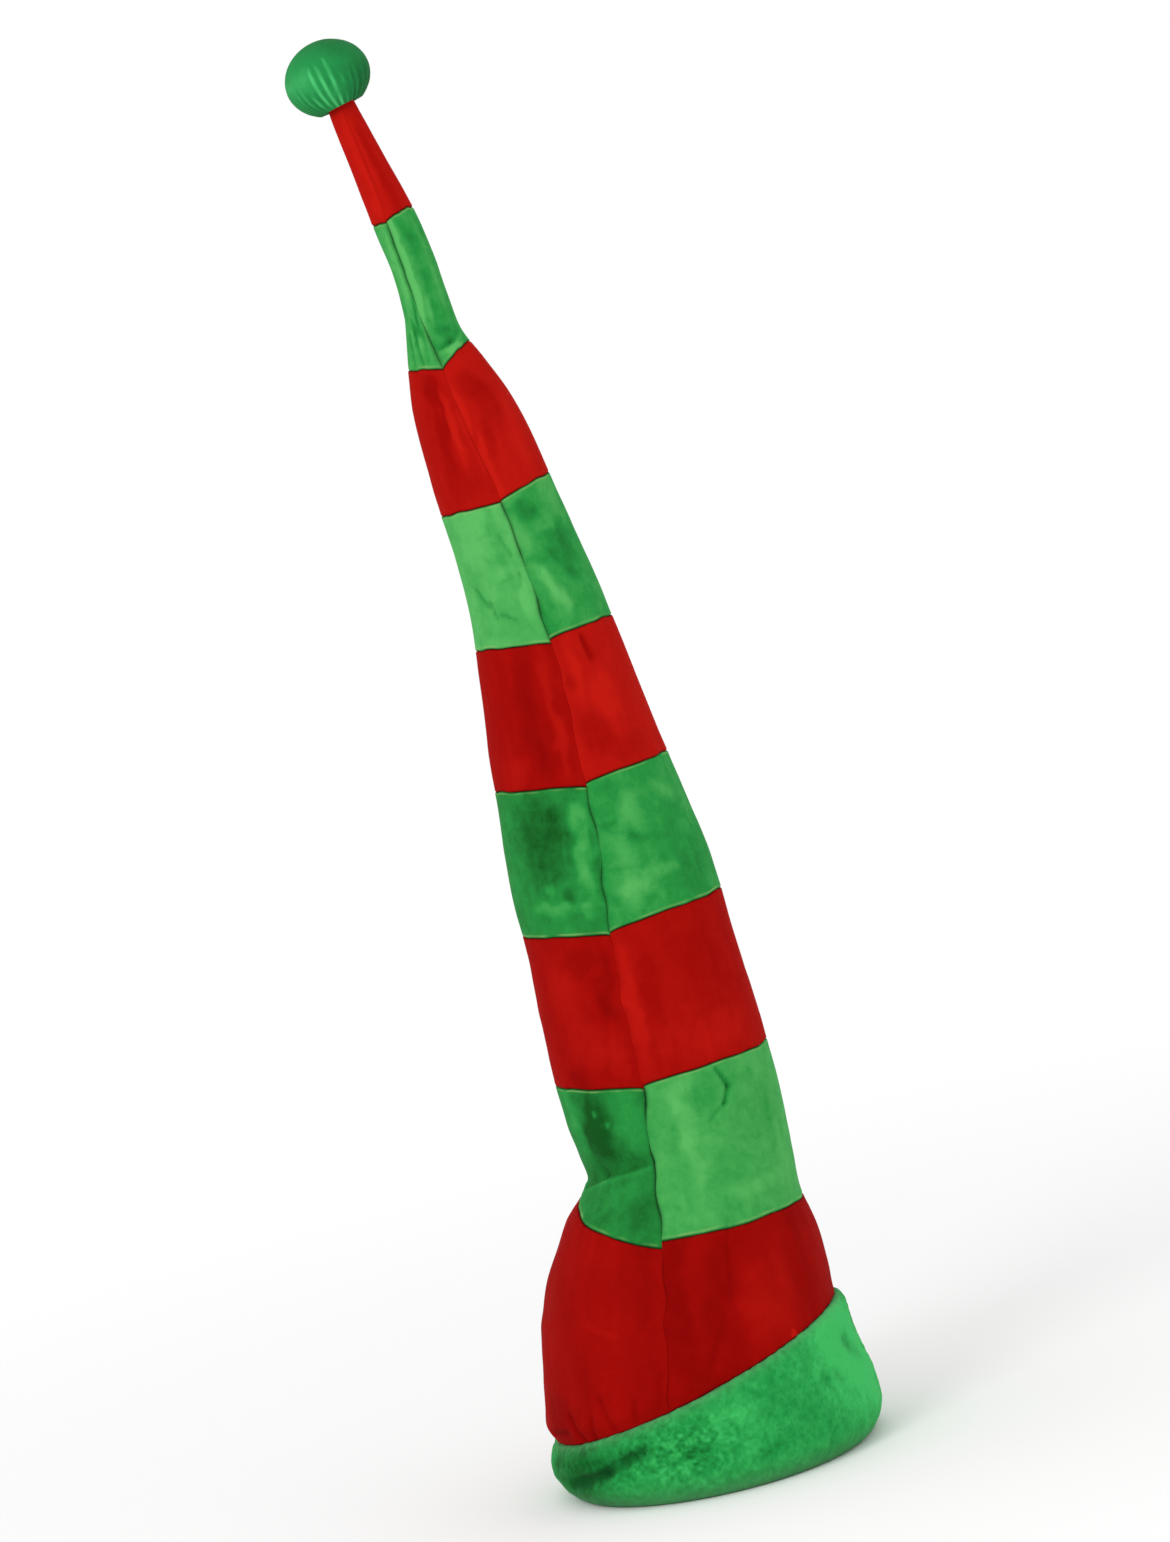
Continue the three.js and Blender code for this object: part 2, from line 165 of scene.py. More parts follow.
# The fine mesh
CELL = 1.4 * MM
CUFF_SIDES = 700
CUFF_CELL = 0.85 * MM
BALL_STEPS = 84
SEAT_STEPS = 5
GATHER_STEPS = 12
SLOPE_STEP = 0.5 * MM
TURN_STEP = 0.01
CORRECTIONS = 5

# Whole numbers that stir a cell's place into a fixed random number, and the noise's shift for a seed
HASH_FACTORS = (73856093, 19349663, 83492791)
HASH_SEED = 97531
HASH_STIR = 1274126177
HASH_TOP = 0xFFFF
SEED_SHIFT = 7.31

# The photo's camera
PHOTO_HEIGHT = 1542
FOCAL_PIXELS = 5000
SENSOR = 36
CAMERA_DISTANCE = 3
CAMERA_ELEVATION = math.radians(4)
CAMERA_ROLL = math.radians(13)
CAMERA_TARGET = Vector((11.7 * MM, 0, 426.8 * MM))

# Soft lamps by name, place, size and power, and a floor that fades out with distance from the hat
LAMPS = [("key", (-1.5, -2.2, 1.9), 1.1, 24), ("fill", (2.2, -1.6, 1.0), 1.6, 5)]
FLOOR_REACH = 4
FLOOR_TONE = 0.87
FLOOR_FADE_FROM = 0.35
FLOOR_FADE_TO = 1.5


def table(columns, rows):
    """Rows of numbers under named columns, as an array for each column."""
    return dict(zip(columns, np.array(rows, float).T))


def named(columns, rows):
    """The same, as a dictionary of named values for each row."""
    return [dict(zip(columns, row)) for row in rows]


# Sections, as in the solid model. up is a share of the stretch's height, axis a share of LEAN,
# the four radii are shares of the stretch's, and seam is the front seam's turn in degrees.
SECTION_COLUMNS = ("up", "axis", "left", "right", "front", "back", "seam")
CROWN_SECTIONS = table(SECTION_COLUMNS, [
    (0.0, 0.0, 0.93, 0.93, 0.985, 0.985, -16.5),
    (0.1, 0.0, 0.98, 0.98, 1.0, 1.0, -16.3),
    (0.16, 0.0, 0.985, 0.975, 0.995, 0.99, -16),
    (0.22, 0.0, 1.01, 0.955, 0.98, 0.975, -15.5),
    (0.3, 0.0, 0.985, 0.915, 0.965, 0.965, -14.5),
    (0.48, 0.0, 0.93, 0.88, 0.925, 0.92, -11.2),
    (0.55, 0.0, 0.905, 0.88, 0.9, 0.9, -10.2),
    (0.61, 0.04, 0.88, 0.86, 0.88, 0.875, -9.8),
    (0.68, 0.07, 0.845, 0.84, 0.845, 0.84, -9.4),
    (0.74, 0.12, 0.81, 0.8, 0.805, 0.8, -9.5),
    (0.8, 0.2, 0.77, 0.74, 0.75, 0.755, -10.8),
    (0.87, 0.32, 0.73, 0.69, 0.69, 0.7, -14),
    (0.94, 0.41, 0.64, 0.66, 0.625, 0.635, -18.2),
])
SPIRE_SECTIONS = table(SECTION_COLUMNS, [
    (0.0, 0.46, 0.95, 0.99, 0.9, 0.91, -19.6),
    (0.03, 0.455, 0.965, 1.0, 0.88, 0.89, -18.6),
    (0.07, 0.44, 1.01, 1.01, 0.87, 0.87, -14.8),
    (0.12, 0.4, 1.0, 1.015, 0.86, 0.855, -12),
    (0.2, 0.38, 0.985, 0.985, 0.84, 0.83, -11.8),
    (0.27, 0.355, 0.95, 0.955, 0.82, 0.81, -9.6),
    (0.34, 0.31, 0.935, 0.945, 0.8, 0.785, -6),
    (0.39, 0.285, 0.905, 0.91, 0.775, 0.76, -1.6),
    (0.46, 0.235, 0.835, 0.84, 0.72, 0.71, 0.3),
    (0.53, 0.19, 0.77, 0.78, 0.67, 0.655, 3),
    (0.6, 0.175, 0.7, 0.71, 0.61, 0.6, 4.6),
    (0.68, 0.14, 0.62, 0.63, 0.555, 0.545, 1.8),
    (0.75, 0.045, 0.57, 0.58, 0.51, 0.5, 2.5),
    (0.82, -0.07, 0.545, 0.55, 0.485, 0.475, 3),
    (0.89, -0.18, 0.505, 0.515, 0.455, 0.45, -2),
    (0.94, -0.265, 0.455, 0.455, 0.41, 0.41, -5.6),
    (0.985, -0.35, 0.36, 0.36, 0.34, 0.34, -6.5),
])
NECK_SECTIONS = table(SECTION_COLUMNS, [
    (0.1, -0.44, 1.14, 1.18, 1.12, 1.12, -12.5),
    (0.18, -0.45, 1.0, 1.08, 1.02, 1.02, -22),
    (0.32, -0.48, 0.97, 1.0, 0.985, 0.985, -28.5),
    (0.47, -0.57, 0.99, 1.0, 0.98, 0.98, -24.5),
    (0.62, -0.68, 0.92, 0.92, 0.92, 0.92, -15.5),
    (0.76, -0.8, 0.79, 0.79, 0.79, 0.79, -8),
    (0.91, -0.93, 0.67, 0.67, 0.67, 0.67, -2),
    (1.0, -1.0, 0.575, 0.575, 0.575, 0.575, 0),
])

# Large folds, as in the solid model: at, turn, deep, tall and wide. at and tall are shares of the
# hat's height, turn and wide are degrees round from the right of the hat, with the front at 270, and
# deep is a share of FOLD_DEPTH.
FOLDS = [
    (0.021, 214, 0.6, 0.006, 12),
    (0.035, 236, 0.9, 0.007, 13),
    (0.222, 205, 0.6, 0.008, 20),
    (0.229, 235, 1.0, 0.008, 20),
    (0.219, 140, 0.8, 0.009, 28),
    (0.195, 215, -0.5, 0.012, 30),
    (0.12, 285, 0.4, 0.05, 8),
    (0.15, 70, 0.5, 0.04, 10),
    (0.8, 225, 0.35, 0.012, 16),
    (0.8, 310, 0.35, 0.012, 16),
    (0.42, 120, 0.45, 0.03, 16),
    (0.55, 40, 0.4, 0.03, 16),
]

# Stripes from the cuff up, as in the solid model. top is a share of the hat's height. left and right
# are how far the upper seam rises on each side, as shares of the radius, and bend how it gets there.
# jog is how much higher the right panel's upper seam meets the front seam than the left one's, and
# groove how deep the front and back seams are pulled in, in millimetres. line is how dark the shadow
# painted along them is.
STRIPES = named(("cloth", "top", "left", "right", "bend", "jog", "groove", "line"), [
    ("red", 0.1756, 0.35, -0.01, 1.2, 4.0, 0.4, 0.15),
    ("green", 0.2825, 0.1, 0.08, 0.55, 1.6, 1.6, 0.9),
    ("red", 0.3919, 0.095, 0.125, 0.6, 1.5, 0.15, 0.0),
    ("green", 0.4964, 0.105, 0.125, 0.6, 2.0, 0.9, 0.6),
    ("red", 0.5993, 0.08, 0.15, 0.6, 2.2, 0.15, 0.0),
    ("green", 0.7026, -0.04, 0.29, 0.8, 0.5, 1.2, 0.75),
    ("red", 0.8015, 0.16, 0.57, 0.8, 0.0, 0.15, 0.0),
    ("green", 0.9105, -0.02, 0.44, 0.9, 0.6, 1.5, 0.65),
    ("red", 1.0, 0.0, 0.0, 1.0, 0.0, 0.15, 0.0),
])

# Sharp creases and soft wrinkles, each a line from one height and turn to another. Heights, depth,
# width and the fade past each end are in millimetres, and turns are in degrees.
CREASE_COLUMNS = ("z", "turn", "to_z", "to_turn", "deep", "wide", "fade")
CREASES = named(CREASE_COLUMNS, [
    # soft folds of the crown
    (141, 290, 66, 274, 2.0, 8, 14),
    (138, 276, 80, 268, -0.9, 7, 12),
    (120, 318, 92, 322, 0.8, 9, 12),
    (152, 290, 110, 287, 0.7, 1.3, 5),
    (94, 281, 78, 275, 0.8, 2.2, 6),
    (128, 236, 70, 240, 0.8, 10, 14),
    (112, 222, 104, 236, -0.6, 2.0, 6),
    (44, 196, 46, 207, 1.6, 2.0, 4),
    (56, 212, 42, 217, 1.5, 1.8, 4),
    (54, 224, 44, 223, 1.2, 1.7, 4),
    (66, 229, 48, 233, 1.3, 2.0, 5),
    (62, 243, 52, 242, 0.9, 1.7, 4),
    (74, 254, 58, 252, 0.7, 2.2, 5),
    (130, 60, 80, 72, 1.6, 9, 14),
    (120, 110, 75, 104, 1.2, 8, 14),
    # hairline wrinkles of the spire
    (240, 298, 229, 302, 2.0, 1.5, 2),
    (229, 302, 219, 297, 1.8, 1.4, 1),
    (219, 297, 212, 287, 0.9, 1.3, 2),
    (506, 299, 494, 301, 1.5, 1.6, 3),
    (300, 246, 285, 247, 0.9, 2.2, 8),
    (395, 262, 372, 265, 0.8, 2.6, 6),
    (352, 236, 349, 258, 0.6, 1.4, 4),
    (545, 285, 529, 298, -0.7, 1.4, 3),
    (560, 300, 545, 312, 0.6, 2.2, 5),
    (547, 216, 536, 226, 1.6, 1.3, 1.5),
    (538, 229, 529, 232, 1.7, 1.3, 1.5),
    (530, 238, 525, 250, 1.4, 1.2, 1.5),
    (576, 259, 564, 263, 1.3, 1.2, 2),
    (552, 265, 544, 262, 1.3, 1.2, 1.5),
    (655, 246, 630, 256, -0.8, 2.0, 6),
    (650, 262, 618, 268, -0.9, 1.6, 5),
    (300, 90, 330, 70, 1.0, 5, 14),
    (430, 120, 455, 100, 0.9, 5, 12),
    (560, 60, 590, 80, 0.8, 4, 10),
    # strokes in the crushed pile of the green stripes, painted highlight on ridges, shade in creases
    (402, 264, 376, 262, -0.5, 1.2, 3),
    (398, 250, 380, 246, -0.5, 1.2, 3),
    (408, 256, 404, 264, -0.6, 1.2, 1.5),
    (360, 222, 354, 233, -0.7, 1.2, 1.5),
    (416, 223, 413, 233, -0.6, 1.2, 1.5),
    (392, 275, 386, 292, 0.6, 1.6, 2),
    (369, 276, 366, 294, 0.6, 1.4, 2),
    (576, 244, 574, 256, -0.7, 1.2, 1.5),
    (549, 248, 550, 258, 0.7, 1.2, 1.5),
    (544, 283, 530, 297, -0.8, 1.3, 2),
    (568, 306, 571, 318, 0.6, 1.2, 2),
    # gathers at the foot of the neck
    (702, 212, 686, 214, 1.2, 1.2, 3),
    (705, 230, 686, 232, 1.5, 1.3, 3),
    (703, 246, 687, 246, 1.4, 1.3, 3),
    (692, 274, 696, 306, 1.3, 1.1, 1.5),
    (770, 262, 712, 262, -0.9, 2.4, 6),
    (760, 292, 716, 288, 0.8, 2.2, 6),
    (752, 226, 716, 228, -0.5, 2.4, 6),
])

# Folds pressed into the cuff
CUFF_CREASES = named(CREASE_COLUMNS, [
    (15, 206, 24, 226, 3.0, 3.2, 5),
    (24, 226, 35, 243, 2.2, 3.0, 6),
    (26, 206, 37, 226, -1.2, 4, 6),
    (62, 336, 52, 342, 1.2, 4, 6),
    (50, 322, 44, 324, 0.9, 3, 3),
    (30, 120, 42, 150, 2.0, 4, 8),
])

# Tucks, each a line that the cloth above sinks behind and the cloth below swells in front of. above
# and below are how far, and high and low how soon that dies out away from the line.
TUCKS = named(("z", "turn", "to_z", "to_turn", "above", "below", "high", "low", "fade"), [
    (181, 184, 188, 213, 2.6, 1.2, 9, 9, 5),
    (188, 213, 193, 247, 2.4, 1.4, 9, 9, 5),
    (187, 120, 184, 168, 2.0, 1.0, 9, 9, 9),
    (691, 268, 694, 300, 1.5, 0.5, 5, 5, 2),
    (694, 300, 700, 332, 1.2, 0.4, 5, 5, 2),
])

# Patches of brushed nap and of painted shade and painted highlights, as in folds and along seams,
# after how pale each panel is without them. A patch has its height and turn, how tall and wide
# it is, and its light, which is above 0 where the pile is brushed pale or a highlight is painted.
# Heights are in millimetres and turns in degrees.
NAP_AND_SHADING = {
    "stripe_1_left": (-0.2, [
        (120, 232, 50, 12, 0.15), (54, 204, 14, 9, -0.4), (62, 236, 28, 5, 0.2),
        (70, 222, 26, 5, -0.15), (130, 250, 30, 6, -0.2), (150, 215, 14, 20, 0.1),
    ]),
    "stripe_1_right": (-0.1, [
        (118, 264, 60, 8, -0.5), (100, 282, 55, 8, -0.35), (110, 304, 40, 13, 0.35),
        (140, 300, 14, 14, -0.25), (150, 335, 16, 14, -0.3), (118, 324, 40, 8, -0.2),
        (78, 310, 2.2, 1.4, 1.6),
    ]),
    "stripe_2_left": (-0.3, [
        (223, 223, 21, 12, -0.75), (207, 219, 15, 11, -0.35), (229, 203, 26, 7, 0.2),
        (216, 247, 30, 7, 0.25), (170, 248, 16, 10, -0.2), (178, 232, 7, 14, 0.15),
        (228, 224, 3, 2, 0.9), (221, 232, 2, 1.5, 0.8),
    ]),
    "stripe_2_right": (0.42, [
        (180, 292, 10, 12, -0.15), (228, 288, 8, 6, -0.2), (185, 339, 40, 14, 0.2),
        (232, 275, 14, 8, 0.3), (205, 275, 30, 4, 0.3), (200, 318, 8, 8, -0.1), (234, 312, 5, 12, -0.2),
        (168, 310, 5, 20, 0.25),
    ]),
    "stripe_3_left": (0.0, [
        (300, 252, 26, 4, -0.5), (306, 224, 22, 12, 0.3), (270, 232, 16, 16, 0.3),
        (266, 250, 18, 5, 0.35), (250, 222, 9, 9, -0.5), (320, 236, 8, 16, -0.3),
    ]),
    "stripe_3_right": (0.2, [
        (290, 263, 36, 4, 0.5), (300, 274, 30, 5, -0.3), (262, 300, 16, 26, 0.3),
        (310, 310, 20, 16, -0.2),
    ]),
    "stripe_4_left": (-0.25, [
        (396, 234, 27, 20, -0.5), (403, 247, 16, 9, -0.25), (372, 222, 14, 10, -0.2),
        (381, 258, 23, 5, 0.7), (352, 236, 4, 20, 0.5), (405, 262, 7, 4, 0.5), (358, 244, 5, 5, -0.5),
        (350, 255, 6, 5, 0.5), (364, 232, 4, 4, 0.5),
    ]),
    "stripe_4_right": (0.05, [
        (371, 281, 26, 8, 0.45), (402, 291, 12, 9, 0.5), (378, 320, 26, 18, -0.2),
        (384, 294, 4, 8, -0.25), (396, 276, 3, 6, -0.4), (362, 300, 4, 14, 0.4), (408, 318, 5, 14, 0.3),
        (356, 284, 5, 10, 0.4),
    ]),
    "stripe_5_left": (0.0, [
        (470, 244, 34, 10, -0.35), (437, 223, 12, 14, 0.3), (455, 262, 30, 4, 0.5),
        (495, 262, 14, 6, 0.3), (440, 250, 14, 6, -0.3),
    ]),
    "stripe_5_right": (0.55, [
        (472, 303, 14, 12, 0.5), (500, 302, 8, 4, -0.4), (452, 288, 14, 12, -0.4),
        (490, 284, 18, 4, 0.4), (440, 300, 8, 20, -0.2), (482, 280, 5, 5, -0.4),
    ]),
    "stripe_6_left": (0.75, [
        (564, 228, 30, 12, 0.2), (575, 256, 34, 5, -0.35), (527, 250, 9, 16, -0.15),
        (545, 222, 10, 10, -0.15), (588, 240, 8, 16, 0.2), (536, 262, 12, 4, 0.4),
    ]),
    "stripe_6_right": (0.1, [
        (590, 294, 9, 10, -0.45), (562, 312, 16, 14, -0.35), (573, 280, 12, 8, 0.5),
        (540, 288, 12, 5, 0.6), (530, 296, 10, 4, 0.5), (596, 330, 20, 14, 0.4), (550, 282, 5, 6, 0.4),
        (580, 304, 5, 14, 0.3),
    ]),
    "stripe_7_left": (0.35, [
        (669, 240, 10, 16, -0.5), (645, 252, 26, 4, 0.6), (640, 238, 20, 6, -0.4),
        (652, 246, 12, 3, -0.5), (612, 240, 12, 20, -0.25),
    ]),
    "stripe_7_right": (0.6, [
        (617, 275, 22, 4, 0.7), (650, 268, 14, 4, 0.6), (655, 300, 16, 14, -0.3),
        (668, 290, 8, 20, -0.35), (634, 320, 24, 14, 0.3), (632, 285, 14, 5, -0.3),
    ]),
    "stripe_8_left": (0.35, [
        (750, 232, 40, 6, 0.3), (706, 232, 14, 14, -0.3), (735, 222, 26, 12, 0.3),
        (700, 222, 6, 4, 0.8), (697, 239, 6, 4, 0.8), (712, 240, 12, 4, -0.6), (708, 227, 9, 4, -0.5),
    ]),
    "stripe_8_right": (0.15, [
        (745, 255, 50, 9, 1.0), (735, 290, 50, 10, 0.0), (740, 318, 30, 9, 0.3),
        (688, 300, 3.5, 24, 0.8), (704, 290, 4, 20, -0.4), (715, 275, 8, 6, 0.5), (727, 262, 5, 6, 0.5),
    ]),
    "stripe_9_left": (0.7, [
        (817, 250, 30, 14, 0.3), (783, 240, 6, 20, 0.3), (800, 262, 26, 5, -0.2),
    ]),
    "stripe_9_right": (0.6, [
        (800, 292, 30, 16, -0.4), (772, 296, 6, 20, -0.5), (812, 274, 24, 6, 0.3),
    ]),
}

# Patches of the cuff's nap and of painted shade and light on it, in the same columns
CUFF_NAP_AND_SHADING = [
    (62, 335, 40, 22, 1.0), (30, 350, 30, 16, 0.5), (28, 212, 60, 32, -0.3), (20, 208, 20, 20, -0.75),
    (32, 224, 9, 12, -0.35), (26, 300, 14, 14, -0.1), (48, 318, 6, 5, -0.5), (60, 338, 8, 3, -0.45),
    (30, 262, 9, 6, -0.3), (22, 288, 6, 5, -0.3), (46, 276, 8, 10, 0.4), (14, 240, 8, 20, 0.2),
    (36, 244, 7, 5, -0.3),
]

# Linear colours of each cloth: pile brushed dark, lying even, and brushed pale, which also give the
# painted shade and painted highlights, the shadow in a seam, and the pale roots of the pile that show
# beside it. patches, blotches, streaks and flecks are how strongly the pile varies at four sizes,
# specular is its gloss and bloom the strength of its sheen. grain is the strength of the pile's
# bump, and grain_size how many of its lumps go to the metre.
CLOTHS = {
    "red": dict(
        dark=(0.175, 0.0008, 0.0006), even=(0.3, 0.0025, 0.0015), pale=(0.46, 0.008, 0.004),
        shadow=(0.045, 0.001, 0.001), roots=(0.42, 0.02, 0.012), sheen=(1, 0.2, 0.15),
        patches=0.3, blotches=0.2, streaks=0.3, flecks=0.0, specular=0.02, bloom=0.02,
        grain=0.35, grain_size=1100,
    ),
    "green": dict(
        dark=(0.004, 0.075, 0.009), even=(0.017, 0.25, 0.044), pale=(0.088, 0.415, 0.1),
        shadow=(0.006, 0.035, 0.008), roots=(0.2, 0.42, 0.12), sheen=(0.4, 1, 0.5),
        patches=0.45, blotches=0.45, streaks=0.25, flecks=0.1, specular=0.06, bloom=0.05,
        grain=0.45, grain_size=1100,
    ),
    "cuff": dict(
        dark=(0.004, 0.1, 0.015), even=(0.014, 0.265, 0.052), pale=(0.045, 0.46, 0.11),
        shadow=(0.003, 0.05, 0.01), roots=(0.1, 0.42, 0.13), sheen=(0.4, 1, 0.5),
        patches=0.3, blotches=0.4, streaks=0.0, flecks=0.35, specular=0.04, bloom=0.08,
        grain=0.7, grain_size=700,
    ),
    "ball": dict(
        dark=(0.005, 0.105, 0.024), even=(0.014, 0.24, 0.058), pale=(0.06, 0.46, 0.14),
        shadow=(0.005, 0.05, 0.01), roots=(0.1, 0.42, 0.13), sheen=(0.4, 1, 0.5),
        patches=0.3, blotches=0.2, streaks=0.0, flecks=0.15, specular=0.1, bloom=0.05,
        grain=0.3, grain_size=1100,
    ),
}


# The nap's noise: its word in CLOTHS, how many lumps to the metre, detail, stretch and distortion
NAP_NOISE = [
    ("patches", 26, 4, (1, 1, 1), 0.6),
    ("blotches", 120, 4, (1, 1, 1), 0.4),
    ("streaks", 90, 3, (1, 1, 0.18), 0.0),
    ("flecks", 430, 2, (1, 1, 0.45), 1.2),
]

# How strongly the pale roots, the shadow and the knitted inside show, and the bump of the pile, with
# a coarser grain under it that is larger and deeper by the factors given
ROOTS_SHARE = 0.75
SHADOW_SHARE = 0.8
KNIT_SHARE = 0.75
PILE_DEPTH = 0.5 * MM
COARSE_GRAIN = 5
COARSE_DEPTH = 1.5


def placed(sections, foot, height, radius):
    """A stretch's sections in metres and radians."""
    radii = {name: sections[name] * radius for name in ("left", "right", "front", "back")}
    seam = np.radians(sections["seam"])
    return dict(z=foot + sections["up"] * height, axis=sections["axis"] * LEAN, seam=seam, **radii)


def joined(stretches):
    """One long table from the tables of the stretches."""
    return {name: np.concatenate([stretch[name] for stretch in stretches]) for name in stretches[0]}


SECTIONS = joined([
    placed(CROWN_SECTIONS, 0, CROWN_HEIGHT, CROWN_RADIUS),
    placed(SPIRE_SECTIONS, CROWN_HEIGHT, SPIRE_HEIGHT, SPIRE_RADIUS),
    placed(NECK_SECTIONS, CROWN_HEIGHT + SPIRE_HEIGHT, NECK_HEIGHT, NECK_RADIUS),
])
HEIGHTS = SECTIONS.pop("z")


def slopes_of(column):
    """Slopes for a smooth curve through one column that never overshoots its own points."""
    rise = np.diff(column) / np.diff(HEIGHTS)
    before = np.concatenate([rise[:1], rise])
    after = np.concatenate([rise, rise[-1:]])
    product = before * after
    total = np.where(before + after == 0, 1, before + after)
    return np.where(product > 0, 2 * product / total, 0)


SLOPES = {name: slopes_of(column) for name, column in SECTIONS.items()}


def section_at(z):
    """The section at each height, every column interpolated."""
    low = np.clip(np.searchsorted(HEIGHTS, z, side="right") - 1, 0, len(HEIGHTS) - 2)
    span = HEIGHTS[low + 1] - HEIGHTS[low]
    t = np.clip((z - HEIGHTS[low]) / span, 0, 1)
    start = 2 * t**3 - 3 * t**2 + 1
    leave = (t**3 - 2 * t**2 + t) * span
    arrive = (t**3 - t**2) * span
    return {
        name: start * column[low] + (1 - start) * column[low + 1]
        + leave * SLOPES[name][low] + arrive * SLOPES[name][low + 1]
        for name, column in SECTIONS.items()
    }


def bow_at(z):
    """How far back the spire's axis stands at a height."""
    share = np.clip((z - CROWN_HEIGHT) / (HAT_HEIGHT - CROWN_HEIGHT), 0, 1)
    return BOW * (1 - np.cos(2 * np.pi * share)) / 2


def signed_angle(turn, centre):
    """The turn from centre, between minus and plus half a circle."""
    return np.arctan2(np.sin(turn - centre), np.cos(turn - centre))


def cuff_top(turn):
    """The cuff's upper edge, a level ring tipped up towards the right."""
    return CUFF_HEIGHT + CUFF_SLANT * np.cos(turn)


def pulled_in(z, turn):
    """How far the large folds and the tuck over the cuff pull the cloth in."""
    total = TUCK_DEPTH * np.exp(-(((z - cuff_top(turn)) / TUCK_SPREAD) ** 2)) * (1 - np.cos(turn)) / 2
    for at, around, deep, tall, wide in FOLDS:
        up = (z / HAT_HEIGHT - at) / tall
        round_it = signed_angle(turn, math.radians(around)) / math.radians(wide)
        total = total + deep * FOLD_DEPTH * np.exp(-(up**2) - round_it**2)
    return total


def skin(z, turn):
    """Points of the cloth's outer face before its fine relief."""
    section = section_at(z)
    across = np.cos(turn)
    along = np.sin(turn)
    wide = np.where(across > 0, section["right"], section["left"])
    deep = np.where(along > 0, section["back"], section["front"])
    inward = pulled_in(z, turn)
    x = section["axis"] + (wide - inward) * across
    y = bow_at(z) + (deep - inward) * along
    return np.stack([x, y, z + 0 * turn], axis=-1)


def normal_at(z, turn):
    """The way out of the cloth."""
    up = skin(z + SLOPE_STEP, turn) - skin(z - SLOPE_STEP, turn)
    round_it = skin(z, turn + TURN_STEP) - skin(z, turn - TURN_STEP)
    normal = np.cross(round_it, up)
    return normal / np.linalg.norm(normal, axis=-1, keepdims=True)


def lattice(cell, seed):
    """A fixed random number from -1 to 1 for each whole-number cell."""
    a, b, c = HASH_FACTORS
    number = cell[..., 0] * a + cell[..., 1] * b + cell[..., 2] * c + seed * HASH_SEED
    number = (number ^ (number >> 13)) * HASH_STIR
    return 2 * ((number ^ (number >> 16)) & HASH_TOP) / HASH_TOP - 1


def lumps(points, size, seed):
    """Smooth noise from -1 to 1 with lumps of about the size given."""
    at = points / size + seed * SEED_SHIFT
    cell = np.floor(at).astype(np.int64)
    t = at - cell
    t = t * t * (3 - 2 * t)
    total = 0
    for corner in np.ndindex(2, 2, 2):
        weight = np.prod(np.where(corner, t, 1 - t), axis=-1)
        total = total + weight * lattice(cell + corner, seed)
    return total


def blend(points, sizes, seed):
    """Smooth noise of several sizes, each with its strength, and a seed each from the one given up."""
    return sum(strong * lumps(points, size, seed + i) for i, (strong, size) in enumerate(sizes))


def ripple(along, waves):
    """Waves along a line added up, each with its strength, length and phase."""
    return sum(strong * np.sin(along / length + phase) for strong, length, phase in waves)


def off_line(line, z, turn, radius):
    """How far points lie above a line drawn on the hat, and how they fade past its ends."""
    rise = (line["to_z"] - line["z"]) * MM
    run = math.radians(line["to_turn"] - line["turn"]) * radius
    x = signed_angle(turn, math.radians(line["turn"])) * radius
    y = z - line["z"] * MM
    length = np.hypot(run, rise)
    along = (x * run + y * rise) / length
    across = (y * run - x * rise) / length
    past = np.maximum(np.maximum(-along, along - length), 0)
    return across, np.exp(-((past / (line["fade"] * MM)) ** 2))


def creased(creases, z, turn, radius):
    """How far sharp creases push the cloth in."""
    total = 0 * z
    for line in creases:
        across, fading = off_line(line, z, turn, radius)
        total = total + line["deep"] * MM * np.exp(-((across / (line["wide"] * MM)) ** 2)) * fading
    return total


def tucked(z, turn, radius):
    """How far the tucks push the cloth in."""
    total = 0 * z
    for line in TUCKS:
        across, fading = off_line(line, z, turn, radius)
        upper = (1 + np.tanh(across / TUCK_EDGE)) / 2
        sunk = line["above"] * upper * np.exp(-np.maximum(across, 0) / (line["high"] * MM))
        swollen = line["below"] * (1 - upper) * np.exp(np.minimum(across, 0) / (line["low"] * MM))
        total = total + (sunk - swollen) * MM * fading
    return total


def relief(z, turn, points):
    """How far the cloth's soft dents and wrinkles push it out."""
    section = section_at(z)
    radius = (section["left"] + section["right"]) / 2
    slack = np.clip(radius / SPIRE_RADIUS, *SLACK_RANGE)
    return blend(points, DENTS, 1) * slack * MM - creased(CREASES, z, turn, radius) - tucked(z, turn, radius)


def seam_at(z):
    """The front seam's turn from the middle at a height."""
    return section_at(z)["seam"] + FRONT_WAVER * ripple(z, FRONT_WAVES)


def direction_at(z, side, share):
    """The direction a share of the way from the front seam round one side to the back seam."""
    seam = seam_at(z)
    front = 3 * QUARTER + seam - (2 * np.pi if side > 0 else 0)
    return front + (QUARTER + seam - front) * share


def cuff_edge(side, share):
    """The cuff's upper edge at a share of the way round one side, found by rounds of correction."""
    z = CUFF_HEIGHT + 0 * share
    for _ in range(CORRECTIONS):
        z = cuff_top(direction_at(z, side, share))
    return z


def seam_height(stripe, side, share):
    """The height of a stripe's upper seam at a share of the way round one side."""
    if stripe < 0:
        return cuff_edge(side, share)
    row = STRIPES[stripe]
    crossing = row["top"] * HAT_HEIGHT
    section = section_at(np.array(crossing))
    radius = (section["left"] + section["right"]) / 2
    bulge = np.clip(np.sin(np.pi * share), 0, 1)
    if stripe == len(STRIPES) - 1:
        return crossing + side * math.tan(BALL_TILT) * radius * bulge
    jog = side * row["jog"] * MM / 2 * (1 - share) ** 3
    waver = sum(tall * np.sin(waves * share + phase * stripe) for tall, waves, phase in SEAM_WAVES)
    rise = radius * (row["right"] if side > 0 else row["left"])
    return crossing + rise * bulge ** row["bend"] + jog + waver * bulge


